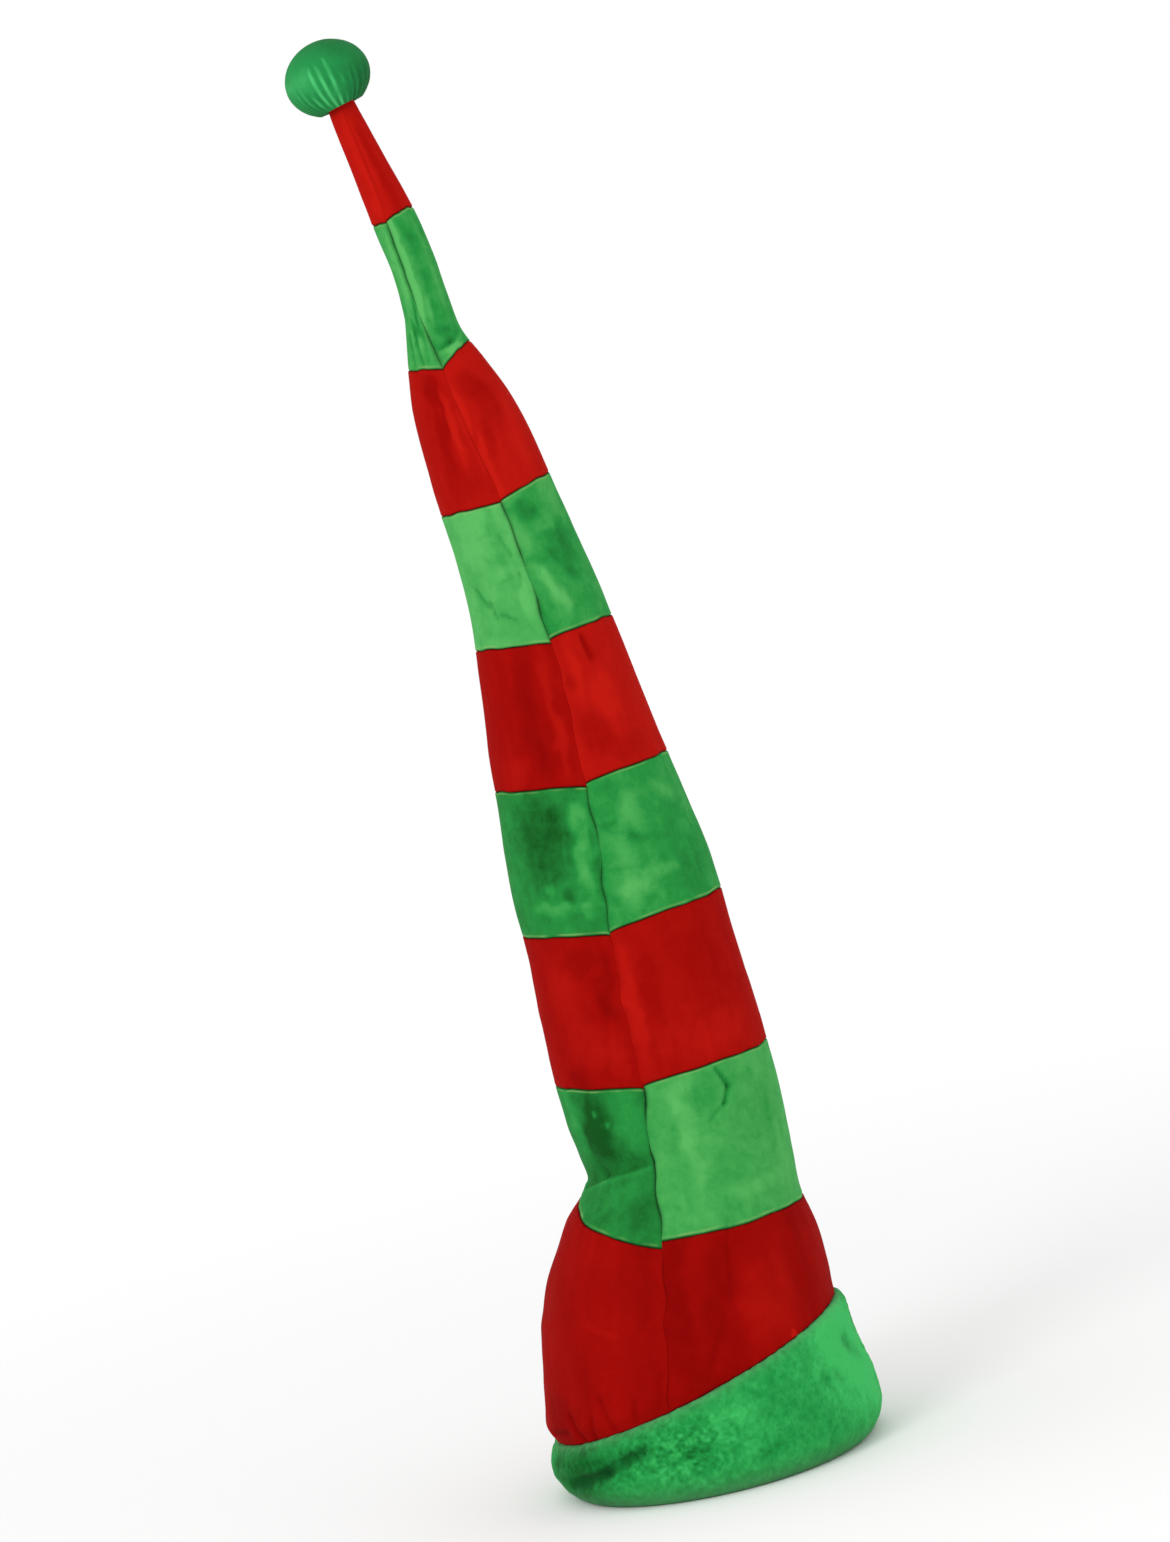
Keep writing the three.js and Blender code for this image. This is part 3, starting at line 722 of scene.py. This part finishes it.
def seam_gape(z):
    """How far open the front and back seams lie at each height, from 0 for closed to 1."""
    return np.clip(GAPE_MEAN + ripple(z, GAPE_WAVES), GAPE_LEAST, 1)


def stations(length, edge):
    """Distances along a strip, close together at its two edges, where it turns in to a seam."""
    close = EDGE_STEPS * edge
    inside = np.linspace(edge, length - edge, max(4, round((length - 2 * edge) / CELL)))
    return np.concatenate([close, inside, length - close[::-1]])


def turned_in(distance, length, groove):
    """How deep a strip's edges are turned in at each distance along it, by a rounded step."""
    near = np.minimum(distance, length - distance)
    short = np.clip(1 - near / groove, 0, 1)
    return groove * (1 - np.sqrt(1 - short**2))


def with_allowance(depths, allowance):
    """The same depths with the first and the last taken down to the end of the seam allowance."""
    depths = depths.copy()
    depths[[0, -1]] = allowance
    return depths


def pucker(distance, along, phase):
    """Small waves along a seam that die out away from it."""
    waves = np.sin(along / PUCKER_LONG + phase) + 0.8 * np.sin(along / PUCKER_SHORT + 2.3 * phase)
    return PUCKER_DEPTH * waves * np.exp(-distance / PUCKER_FADE)


def quads(*corners):
    """Faces from grids of point numbers, one grid for each corner."""
    return np.stack([numbers.ravel() for numbers in corners], axis=1)


def shell_faces(rows, columns):
    """The faces of a closed wall: an outer grid, an inner grid and the four rims between them."""
    outer, inner = np.arange(2 * rows * columns).reshape(2, rows, columns)
    return np.concatenate([
        quads(outer[:-1, :-1], outer[:-1, 1:], outer[1:, 1:], outer[1:, :-1]),
        quads(inner[:-1, :-1], inner[1:, :-1], inner[1:, 1:], inner[:-1, 1:]),
        quads(outer[0, 1:], outer[0, :-1], inner[0, :-1], inner[0, 1:]),
        quads(outer[-1, :-1], outer[-1, 1:], inner[-1, 1:], inner[-1, :-1]),
        quads(outer[:-1, 0], outer[1:, 0], inner[1:, 0], inner[:-1, 0]),
        quads(outer[1:, -1], outer[:-1, -1], inner[:-1, -1], inner[1:, -1]),
    ])


def piece(name, points, faces, material, slot, **values):
    """A smooth mesh that stands for a node of the frame, with a number for each point where named."""
    mesh = bpy.data.meshes.new(name)
    mesh.from_pydata(points.reshape(-1, 3).tolist(), [], faces)
    mesh.shade_smooth()
    for word, numbers in values.items():
        layer = mesh.attributes.new(word, "FLOAT", "POINT")
        layer.data.foreach_set("value", np.ascontiguousarray(numbers, np.float32).ravel())
    mesh.materials.append(material)
    made = bpy.data.objects.new(name + "_cloth", mesh)
    bpy.context.scene.collection.objects.link(made)
    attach(made, "root")
    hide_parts(name)
    return made


def brushed_and_shaded(patches, z, turn, points):
    """How pale patches of brushed nap and of painted shade and light, with wavering edges, make each point.
    """
    total = 0 * z
    z = z + PATCH_WAVER * blend(points, PATCH_WAVES, 31)
    turn = turn + PATCH_WAVER / SPIRE_RADIUS * blend(points, PATCH_WAVES, 33)
    for at, around, tall, wide, light in patches:
        up = (z - at * MM) / (tall * MM)
        round_it = signed_angle(turn, math.radians(around)) / math.radians(wide)
        total = total + light * np.exp(-((up**2 + round_it**2) ** PATCH_EDGE))
    return total


def nap_at(name, z, turn, points):
    """How pale each point of a panel is: its nap, and the painted shade and light of creases and tucks."""
    base, patches = NAP_AND_SHADING[name]
    section = section_at(z)
    radius = (section["left"] + section["right"]) / 2
    sharp = [line for line in CREASES if line["wide"] < SHARP_CREASE]
    total = base + brushed_and_shaded(patches, z, turn, points) - CREASE_SHADE * creased(sharp, z, turn, radius) / MM
    # Painted shade above each tuck's line and a painted highlight on the lip below it
    for line in TUCKS:
        across, fading = off_line(line, z, turn, radius)
        shade = (1 + np.tanh(across / TUCK_EDGE)) / 2 * np.exp(-np.maximum(across, 0) / TUCK_SHADE_FADE)
        light = np.exp(-(((across + TUCK_LIGHT_AT) / TUCK_LIGHT_WIDE) ** 2))
        total = total + fading * (TUCK_LIGHT * light - TUCK_SHADE * shade)
    return total


def panel(stripe, side, materials):
    """One panel of a stripe. side is 1 on the right of the hat and -1 on its left."""
    row = STRIPES[stripe]
    name = f"stripe_{stripe + 1}_{'right' if side > 0 else 'left'}"
    groove = row["groove"] * MM
    low_seam = seam_height(stripe - 1, side, np.array(0.5))
    high_seam = seam_height(stripe, side, np.array(0.5))
    middle = (low_seam + high_seam) / 2
    section = section_at(middle)
    width = float(np.pi * (section["left"] + section["right"] + section["front"] + section["back"]) / 4)
    height = float(high_seam - low_seam)
    edge = SHORT_EDGE if height < SHORT_STRIPE else SEAM_EDGE
    across = stations(width, edge)
    up = stations(height, edge)
    depth_up = turned_in(up, height, SEAM_ROLL)
    depth_across = turned_in(across, width, groove)
    radius = float(section["left"])
    reach = min(ALLOWANCE, ALLOWANCE_ROOM * radius)

    def wall(up, across, depth_up, depth_across, gaping):
        """One face of the cloth, with each point's height, turn and distances from its seams."""
        share = (across / width)[None, :]
        if side < 0:
            share = 1 - share
        low = seam_height(stripe - 1, side, share) + SEAM_GAP / 2
        high = seam_height(stripe, side, share) - SEAM_GAP / 2
        z = low + (high - low) * (up / height)[:, None]
        turn = direction_at(z, side, share)
        trim = np.clip(1 - 2 * across / width, -1, 1) * SEAM_GAP / 2
        trim[[0, -1]] += ALLOWANCE_SLANT
        turn = turn + trim[None, :] / section_at(z)["front"]
        gape = 1 - gaping * (1 - seam_gape(z))
        gape[:, [0, -1]] = 1
        depth = np.maximum(depth_up[:, None], depth_across[None, :] * gape)
        points = skin(z, turn)
        out = relief(z, turn, points)
        from_low = np.abs(z - low)
        from_high = np.abs(high - z)
        from_side = np.minimum(across, width - across)[None, :] + 0 * z
        out = out + pucker(from_low, turn * radius, stripe)
        out = out + pucker(from_high, turn * radius, stripe + 1) + pucker(from_side, z, 0.7)
        level = np.minimum(from_low, 1.3 * from_high)
        return points + normal_at(z, turn) * (out - depth)[..., None], z, turn, level, from_side

    outer, z, turn, level, upright = wall(
        up, across, with_allowance(depth_up, reach), with_allowance(depth_across, reach), 1)
    shrink_up = ALLOWANCE_CLOTH + up * (1 - 2 * ALLOWANCE_CLOTH / height)
    shrink_across = ALLOWANCE_CLOTH + across * (1 - 2 * ALLOWANCE_CLOTH / width)
    level_up = with_allowance(np.full_like(up, CLOTH), reach)
    level_across = with_allowance(np.full_like(across, CLOTH), reach)
    inner = wall(shrink_up, shrink_across, level_up, level_across, 0)[0]
    # The brushed nap, with the painted shade and light of creases, tucks and patches
    nap = np.stack([nap_at(name, z, turn, outer), 0 * z])
    # Painted shadow along the seams between stripes and along the front and back seams
    beside = row["line"] * seam_gape(z) * np.exp(-((upright / FRONT_SHADOW) ** 2))
    dark = np.maximum(np.exp(-((level / SEAM_SHADOW) ** 2)), beside)
    dark = dark * np.clip(0.9 + 0.5 * lumps(outer, 9 * MM, 36), 0, 1)
    pale = np.exp(-(((level - SEAM_PALE_AT) / SEAM_PALE) ** 2)) * (row["cloth"] == "green")
    pale = pale * np.clip(0.55 + lumps(outer, 7 * MM, 35), 0, 1)
    inside = np.stack([0 * level, 1 + 0 * level])
    points = np.stack([outer, inner])
    faces = shell_faces(len(up), len(across)).tolist()
    made = piece(name, points, faces, materials[row["cloth"]], row["cloth"] + "_velour",
                 nap=nap, dark=np.stack([dark, 0 * dark]), pale=np.stack([pale, 0 * pale]), inside=inside)


def cuff_section(top):
    """The cuff's section for each height of its upper edge, as steps out from the cloth's outer face
    and heights, from the inner edge of the flat that it stands on."""
    inside = -CLOTH - CUFF_BACKING
    foot = inside + CUFF_HEM + CUFF_FOOT
    roll = np.minimum(CUFF_ROLL, ROLL_SHARE * top)
    shoulder = np.minimum(CUFF_SHOULDER, SHOULDER_SHARE * top)

    def arc(out, height, wide, tall, start, steps):
        """A quarter of an oval round a centre, from the turn where it starts."""
        turn = start + QUARTER * np.linspace(0, 1, steps)
        wide = wide * np.cos(turn)
        return out + wide + 0 * top[:, None], height + tall * np.sin(turn)

    def straight(start, end, steps):
        """Steps between the end of one part of the section and the start of another."""
        share = np.linspace(0, 1, steps + 2)[1:-1]
        return tuple(a[:, -1:] + (b[:, :1] - a[:, -1:]) * share for a, b in zip(start, end))

    tall = (top - roll - shoulder)[:, None]
    middle = inside + CUFF_HEM
    bottom = arc(foot, roll[:, None], CUFF_STAND - foot, roll[:, None], -QUARTER, CUFF_STEPS["roll"])
    over = arc(0, (top - shoulder)[:, None], CUFF_STAND, shoulder[:, None], 0, CUFF_STEPS["shoulder"])
    lip = arc(middle, (top - CUFF_HEM)[:, None], CUFF_HEM, CUFF_HEM, QUARTER, CUFF_STEPS["lip"])
    hem = arc(middle, CUFF_HEM + 0 * tall, CUFF_HEM, CUFF_HEM, 2 * QUARTER, CUFF_STEPS["lip"])
    parts = [
        bottom, straight(bottom, over, round(float(tall.max()) / CUFF_CELL)), over,
        straight(over, lip, CUFF_STEPS["top"]), lip,
        straight(lip, hem, CUFF_STEPS["back"]), hem, straight(hem, bottom, 1),
    ]
    return tuple(np.concatenate(found, axis=1) for found in zip(*parts))


def cuff(materials):
    """The plush cuff: its section carried round the foot of the crown, then given its pile."""
    turn = 2 * np.pi * np.arange(CUFF_SIDES) / CUFF_SIDES
    edge = cuff_top(turn) - SEAM_GAP / 2
    out, height = cuff_section(edge)
    turn = turn[:, None]
    slant = (height / edge[:, None]) * CUFF_SLANT / CROWN_RADIUS
    level = np.stack([np.cos(turn) + 0 * out, np.sin(turn) + 0 * out, slant * np.cos(turn)], axis=-1)
    points = skin(height, turn + 0 * height) + level * out[..., None]
    share = height / edge[:, None]
    outer = np.clip((out + CLOTH) / (CUFF_STAND + CLOTH), 0, 1)
    around = np.roll(points, -1, axis=0) - np.roll(points, 1, axis=0)
    along = np.roll(points, -1, axis=1) - np.roll(points, 1, axis=1)
    normal = np.cross(around, along)
    normal = normal / np.maximum(np.linalg.norm(normal, axis=-1, keepdims=True), 1e-12)
    big = blend(points, CUFF_SWELLINGS, 11)
    clumps = lumps(points, CUFF_CLUMPS, 13)
    tufts = blend(points, CUFF_TUFTS, 14)
    across = signed_angle(turn, ROUGH_TURN) / ROUGH_WIDE
    rough = 0.55 + 1.25 * np.exp(-(((height - ROUGH_HEIGHT) / ROUGH_TALL) ** 2) - across**2)
    spots = np.clip(0.5 + lumps(points, FRINGE_SPOTS, 16), 0, 1)
    fringe = spots * np.exp(-(((edge[:, None] - height) / FRINGE) ** 2))
    push = (0.8 * big + 0.5 * clumps + 0.42 * rough * tufts) * MM * outer
    waves = 0.6 * np.sin(SCALLOPS * turn + 2 * np.sin(5 * turn))
    scallop = waves + 0.9 * lumps(points, SCALLOP_LUMPS, 17)
    scallop = scallop * MM * np.clip(4 * share - 3, 0, 1) * outer
    crease = creased(CUFF_CREASES, height, turn + 0 * height, CROWN_RADIUS)
    points = points + normal * (push - crease * outer)[..., None]
    points[..., 2] = np.maximum(points[..., 2] + scallop, 0)
    # Paler on the raised swellings, clumps and tufts as painted highlights, darker in the pressed folds as
    # painted shade
    nap = 0.15 + 0.1 * big + 0.15 * clumps + 0.38 * rough * tufts - 0.3 * crease / (3 * MM)
    nap = nap + brushed_and_shaded(CUFF_NAP_AND_SHADING, height, turn, points)
    sides, steps = out.shape
    here = np.arange(sides)[:, None] * steps + np.arange(steps)
    beside = np.roll(here, -1, axis=0)
    faces = quads(here, beside, np.roll(beside, -1, axis=1), np.roll(here, -1, axis=1)).tolist()
    # Painted shade in the pressed folds
    dark = np.clip(crease / (4 * MM), 0, 0.6) * outer
    made = piece("cuff", points, faces, materials["cuff"], "cuff_plush",
                 nap=nap, dark=dark, pale=fringe * outer, inside=1 - outer)


def ball_profile(seat):
    """The ball's profile from its axis at the seat to its axis at the top, as radii and heights."""
    half = BALL_HEIGHT / 2
    start = math.acos((seat + GATHER_WIDTH) / BALL_RADIUS)
    centre = half * math.sin(start) - GATHER_DEPTH
    under = np.linspace(0, seat, SEAT_STEPS)[:-1]
    turn = np.linspace(0, QUARTER, GATHER_STEPS)[:-1]
    gather = seat + GATHER_WIDTH * (1 - np.cos(turn))
    drop = SEAM_GAP - (SEAM_GAP + GATHER_DEPTH) * np.sin(turn)
    rise = np.linspace(-start, QUARTER, BALL_STEPS)
    radii = np.concatenate([under, gather, BALL_RADIUS * np.cos(rise)])
    heights = np.concatenate([0 * under + SEAM_GAP, drop, centre + half * np.sin(rise)])
    radii[-1] = 0
    return radii, heights


def ball(materials):
    """The stuffed ball, gathered in fine pleats round the neck's end."""
    tip = section_at(np.array(HAT_HEIGHT))
    seat = float(tip["right"]) + SEAT_MARGIN
    radii, heights = ball_profile(seat)
    sides = BALL_PLEATS * PLEAT_SIDES
    turn = 2 * np.pi * np.arange(sides)[:, None] / sides
    radius = radii[None, 1:-1]
    height = heights[None, 1:-1]
    wobble = 0.8 * np.sin(3 * turn + 1) + 0.7 * np.sin(5 * turn) + 0.5 * np.sin(8 * turn + 2)
    place = [np.cos(turn) + 0 * height, np.sin(turn) + 0 * height, height / BALL_RADIUS + 0 * turn]
    round_ball = np.stack(place, axis=-1)
    broken = np.clip(0.75 + 0.9 * lumps(round_ball, 0.28, 24), 0.1, 1.3)
    wobble = wobble + 0.8 * lumps(round_ball, 0.4, 25)
    crest = ((1 + np.cos(BALL_PLEATS * turn + wobble)) / 2) ** 2
    front = np.exp(-((signed_angle(turn, PLEAT_FRONT) / PLEAT_FRONT_WIDE) ** 2))
    reach = 0.3 + 0.24 * front + 0.08 * np.sin(7 * turn + 0.5) + 0.1 * np.sin(13 * turn + 1)
    near = np.clip(1 - height / (BALL_HEIGHT * reach), 0, 1)
    spread = np.clip((radius - seat) / GATHER_WIDTH, 0, 1)
    kept = radius - PLEAT_DEPTH * near * spread * (1 - crest) * (0.4 + 0.6 * front) * broken
    points = np.stack([kept * np.cos(turn), kept * np.sin(turn), height + 0 * turn], axis=-1)
    soft = blend(points, BALL_DENTS, 21)
    normal = points - np.array([0, 0, BALL_HEIGHT / 2 - GATHER_DEPTH])
    normal = normal / np.linalg.norm(normal, axis=-1, keepdims=True)
    points = points + normal * (soft * spread)[..., None]
    # Painted shade under the ball away from its front, and painted highlights on the pleats' crests with
    # painted shade between them
    under = np.clip(BALL_SHADE_FROM - height / BALL_HEIGHT, 0, 1) * (1 - front)
    nap = near**0.6 * (2.3 * crest - 0.45) * spread * (0.25 + 0.75 * front) * broken - 2.0 * under
    nap = nap + 0.25 * lumps(points, 22 * MM, 23)
    # Painted light on the left side and painted shade over the top
    lit = np.cos(turn - BALL_LIT_FROM) * radius / BALL_RADIUS
    nap = nap + 0.65 * lit - 1.1 * np.clip(height / BALL_HEIGHT - BALL_SHADE_FROM, 0, 1) - 0.25
    rows = points.shape[1]
    poles = np.array([[0, 0, heights[0]], [0, 0, heights[-1]]])
    every = np.concatenate([points.reshape(-1, 3), poles])
    tilt = np.array(Matrix.Rotation(-BALL_TILT, 3, "Y"))
    every = every @ tilt.T + [float(tip["axis"]), float(bow_at(np.array(HAT_HEIGHT))), HAT_HEIGHT]
    number = np.arange(sides * rows).reshape(sides, rows)
    after = np.roll(number, -1, axis=0)
    faces = quads(number[:, :-1], after[:, :-1], after[:, 1:], number[:, 1:]).tolist()
    low = sides * rows
    high = low + 1
    faces += [[low, b, a] for a, b in zip(number[:, 0].tolist(), after[:, 0].tolist())]
    faces += [[high, a, b] for a, b in zip(number[:, -1].tolist(), after[:, -1].tolist())]
    nap = np.concatenate([nap.ravel(), [0, 0]])
    none = 0 * nap
    made = piece("ball", every, faces, materials["ball"], "ball_plush", nap=nap, dark=none, pale=none,
                 inside=none)


def linked(tree, kind, inputs=(), **settings):
    """A new shader node with its settings made and its named inputs set or linked."""
    made = tree.nodes.new(kind)
    for name, value in settings.items():
        setattr(made, name, value)
    for name, value in dict(inputs).items():
        if isinstance(value, bpy.types.NodeSocket):
            tree.links.new(value, made.inputs[name])
        else:
            made.inputs[name].default_value = value
    return made


def maths(tree, operation, a, b):
    """The sum, product or other result of two numbers or sockets."""
    return linked(tree, "ShaderNodeMath", {0: a, 1: b}, operation=operation).outputs[0]


def noise(tree, place, scale, detail=3, stretch=(1, 1, 1), distortion=0.0):
    """Noise from -0.5 to 0.5 in the piece's own place."""
    vector = linked(tree, "ShaderNodeMapping", {"Vector": place, "Scale": stretch}).outputs[0]
    inputs = {"Vector": vector, "Scale": scale, "Detail": detail, "Roughness": 0.6}
    inputs["Distortion"] = distortion
    found = linked(tree, "ShaderNodeTexNoise", inputs).outputs[0]
    return maths(tree, "SUBTRACT", found, 0.5)


def mixed(tree, share, colour, other):
    """A colour with a share of another mixed in."""
    inputs = {0: share, 6: colour, 7: (*other, 1)}
    return linked(tree, "ShaderNodeMix", inputs, data_type="RGBA").outputs[2]


def cloth_material(name, look):
    """Cloth with a nap: patches, blotches and streaks of pile brushed dark or pale, painted shade and light,
    and a sheen.
    """
    material = bpy.data.materials.new(name)
    material.use_nodes = True
    tree = material.node_tree
    tree.nodes.clear()
    place = linked(tree, "ShaderNodeTexCoord").outputs["Object"]
    nap = linked(tree, "ShaderNodeAttribute", attribute_name="nap").outputs["Fac"]
    dark = linked(tree, "ShaderNodeAttribute", attribute_name="dark").outputs["Fac"]
    pale = linked(tree, "ShaderNodeAttribute", attribute_name="pale").outputs["Fac"]
    inside = linked(tree, "ShaderNodeAttribute", attribute_name="inside").outputs["Fac"]
    total = nap
    for word, scale, detail, stretch, distortion in NAP_NOISE:
        found = noise(tree, place, scale, detail, stretch, distortion)
        total = maths(tree, "ADD", total, maths(tree, "MULTIPLY", found, 2 * look[word]))
    level = maths(tree, "ADD", maths(tree, "MULTIPLY", total, 0.5), 0.5)
    ramp = linked(tree, "ShaderNodeValToRGB", {"Fac": level})
    ramp.color_ramp.elements[0].color = (*look["dark"], 1)
    ramp.color_ramp.elements[1].color = (*look["pale"], 1)
    ramp.color_ramp.elements.new(0.5).color = (*look["even"], 1)
    colour = mixed(tree, maths(tree, "MULTIPLY", pale, ROOTS_SHARE), ramp.outputs[0], look["roots"])
    colour = mixed(tree, maths(tree, "MULTIPLY", dark, SHADOW_SHARE), colour, look["shadow"])
    knit = tuple(0.55 * c + 0.1 for c in look["even"])
    colour = mixed(tree, maths(tree, "MULTIPLY", inside, KNIT_SHARE), colour, knit)
    fine = noise(tree, place, look["grain_size"])
    coarse = noise(tree, place, look["grain_size"] / COARSE_GRAIN)
    height = maths(tree, "ADD", fine, maths(tree, "MULTIPLY", coarse, COARSE_DEPTH))
    relief_inputs = {"Height": height, "Strength": look["grain"], "Distance": PILE_DEPTH}
    bump = linked(tree, "ShaderNodeBump", relief_inputs)
    surface = linked(tree, "ShaderNodeBsdfPrincipled", {
        "Base Color": colour, "Normal": bump.outputs[0], "Roughness": 0.85,
        "Specular IOR Level": look["specular"], "Sheen Weight": look["bloom"],
        "Sheen Roughness": 0.4, "Sheen Tint": (*look["sheen"], 1),
    })
    linked(tree, "ShaderNodeOutputMaterial", {"Surface": surface.outputs[0]})
    return material


def camera():
    """The camera at the photo's angle, rolled so that the hat leans as it does there."""
    data = bpy.data.cameras.new("camera")
    data.sensor_width = SENSOR
    data.lens = SENSOR * FOCAL_PIXELS / PHOTO_HEIGHT
    made = bpy.data.objects.new("camera", data)
    bpy.context.scene.collection.objects.link(made)
    back = Vector((0, -math.cos(CAMERA_ELEVATION), math.sin(CAMERA_ELEVATION)))
    up = Vector((0, math.sin(CAMERA_ELEVATION), math.cos(CAMERA_ELEVATION)))
    right = Vector((1, 0, 0))
    camera_up = up * math.cos(CAMERA_ROLL) + right * math.sin(CAMERA_ROLL)
    camera_right = right * math.cos(CAMERA_ROLL) - up * math.sin(CAMERA_ROLL)
    turned = Matrix((camera_right, camera_up, back)).transposed().to_4x4()
    made.matrix_world = Matrix.Translation(CAMERA_TARGET + back * CAMERA_DISTANCE) @ turned
    bpy.context.scene.camera = made


def lamp(name, place, size, power):
    """A soft square light that faces the middle of the hat."""
    data = bpy.data.lights.new(name, "AREA")
    data.size = size
    data.energy = power
    made = bpy.data.objects.new(name, data)
    made.location = place
    made.rotation_mode = "QUATERNION"
    made.rotation_quaternion = (CAMERA_TARGET - Vector(place)).to_track_quat("-Z", "Y")
    bpy.context.scene.collection.objects.link(made)


def studio():
    """A plain pale floor that fades into a pale background, and soft light."""
    world = bpy.data.worlds.new("studio")
    world.use_nodes = True
    world.node_tree.nodes["Background"].inputs["Color"].default_value = (1, 1, 1, 1)
    world.node_tree.nodes["Background"].inputs["Strength"].default_value = 1.0
    bpy.context.scene.world = world
    for name, place, size, power in LAMPS:
        lamp(name, place, size, power)
    mesh = bpy.data.meshes.new("floor")
    corners = [(x * FLOOR_REACH, y * FLOOR_REACH, 0) for x, y in ((-1, -1), (1, -1), (1, 1), (-1, 1))]
    mesh.from_pydata(corners, [], [(0, 1, 2, 3)])
    floor = bpy.data.objects.new("floor", mesh)
    bpy.context.scene.collection.objects.link(floor)
    material = bpy.data.materials.new("floor")
    material.use_nodes = True
    tree = material.node_tree
    tree.nodes.clear()
    place = linked(tree, "ShaderNodeTexCoord").outputs["Object"]
    away = linked(tree, "ShaderNodeVectorMath", {0: place}, operation="LENGTH").outputs["Value"]
    span = {"Value": away, "From Min": FLOOR_FADE_FROM, "From Max": FLOOR_FADE_TO}
    fade = linked(tree, "ShaderNodeMapRange", span, interpolation_type="SMOOTHSTEP").outputs[0]
    tone = (FLOOR_TONE, FLOOR_TONE, FLOOR_TONE, 1)
    pale = linked(tree, "ShaderNodeBsdfDiffuse", {"Color": tone}).outputs[0]
    clear = linked(tree, "ShaderNodeBsdfTransparent").outputs[0]
    surface = linked(tree, "ShaderNodeMixShader", {0: fade, 1: pale, 2: clear}).outputs[0]
    linked(tree, "ShaderNodeOutputMaterial", {"Surface": surface})
    mesh.materials.append(material)
    bpy.context.scene.view_settings.view_transform = "Standard"


camera()
studio()
MATERIALS = {
    "red": cloth_material("red_velour", CLOTHS["red"]),
    "green": cloth_material("green_velour", CLOTHS["green"]),
    "cuff": cloth_material("cuff_plush", CLOTHS["cuff"]),
    "ball": cloth_material("ball_plush", CLOTHS["ball"]),
}
cuff(MATERIALS)
for stripe in range(len(STRIPES)):
    panel(stripe, -1, MATERIALS)
    panel(stripe, 1, MATERIALS)
ball(MATERIALS)
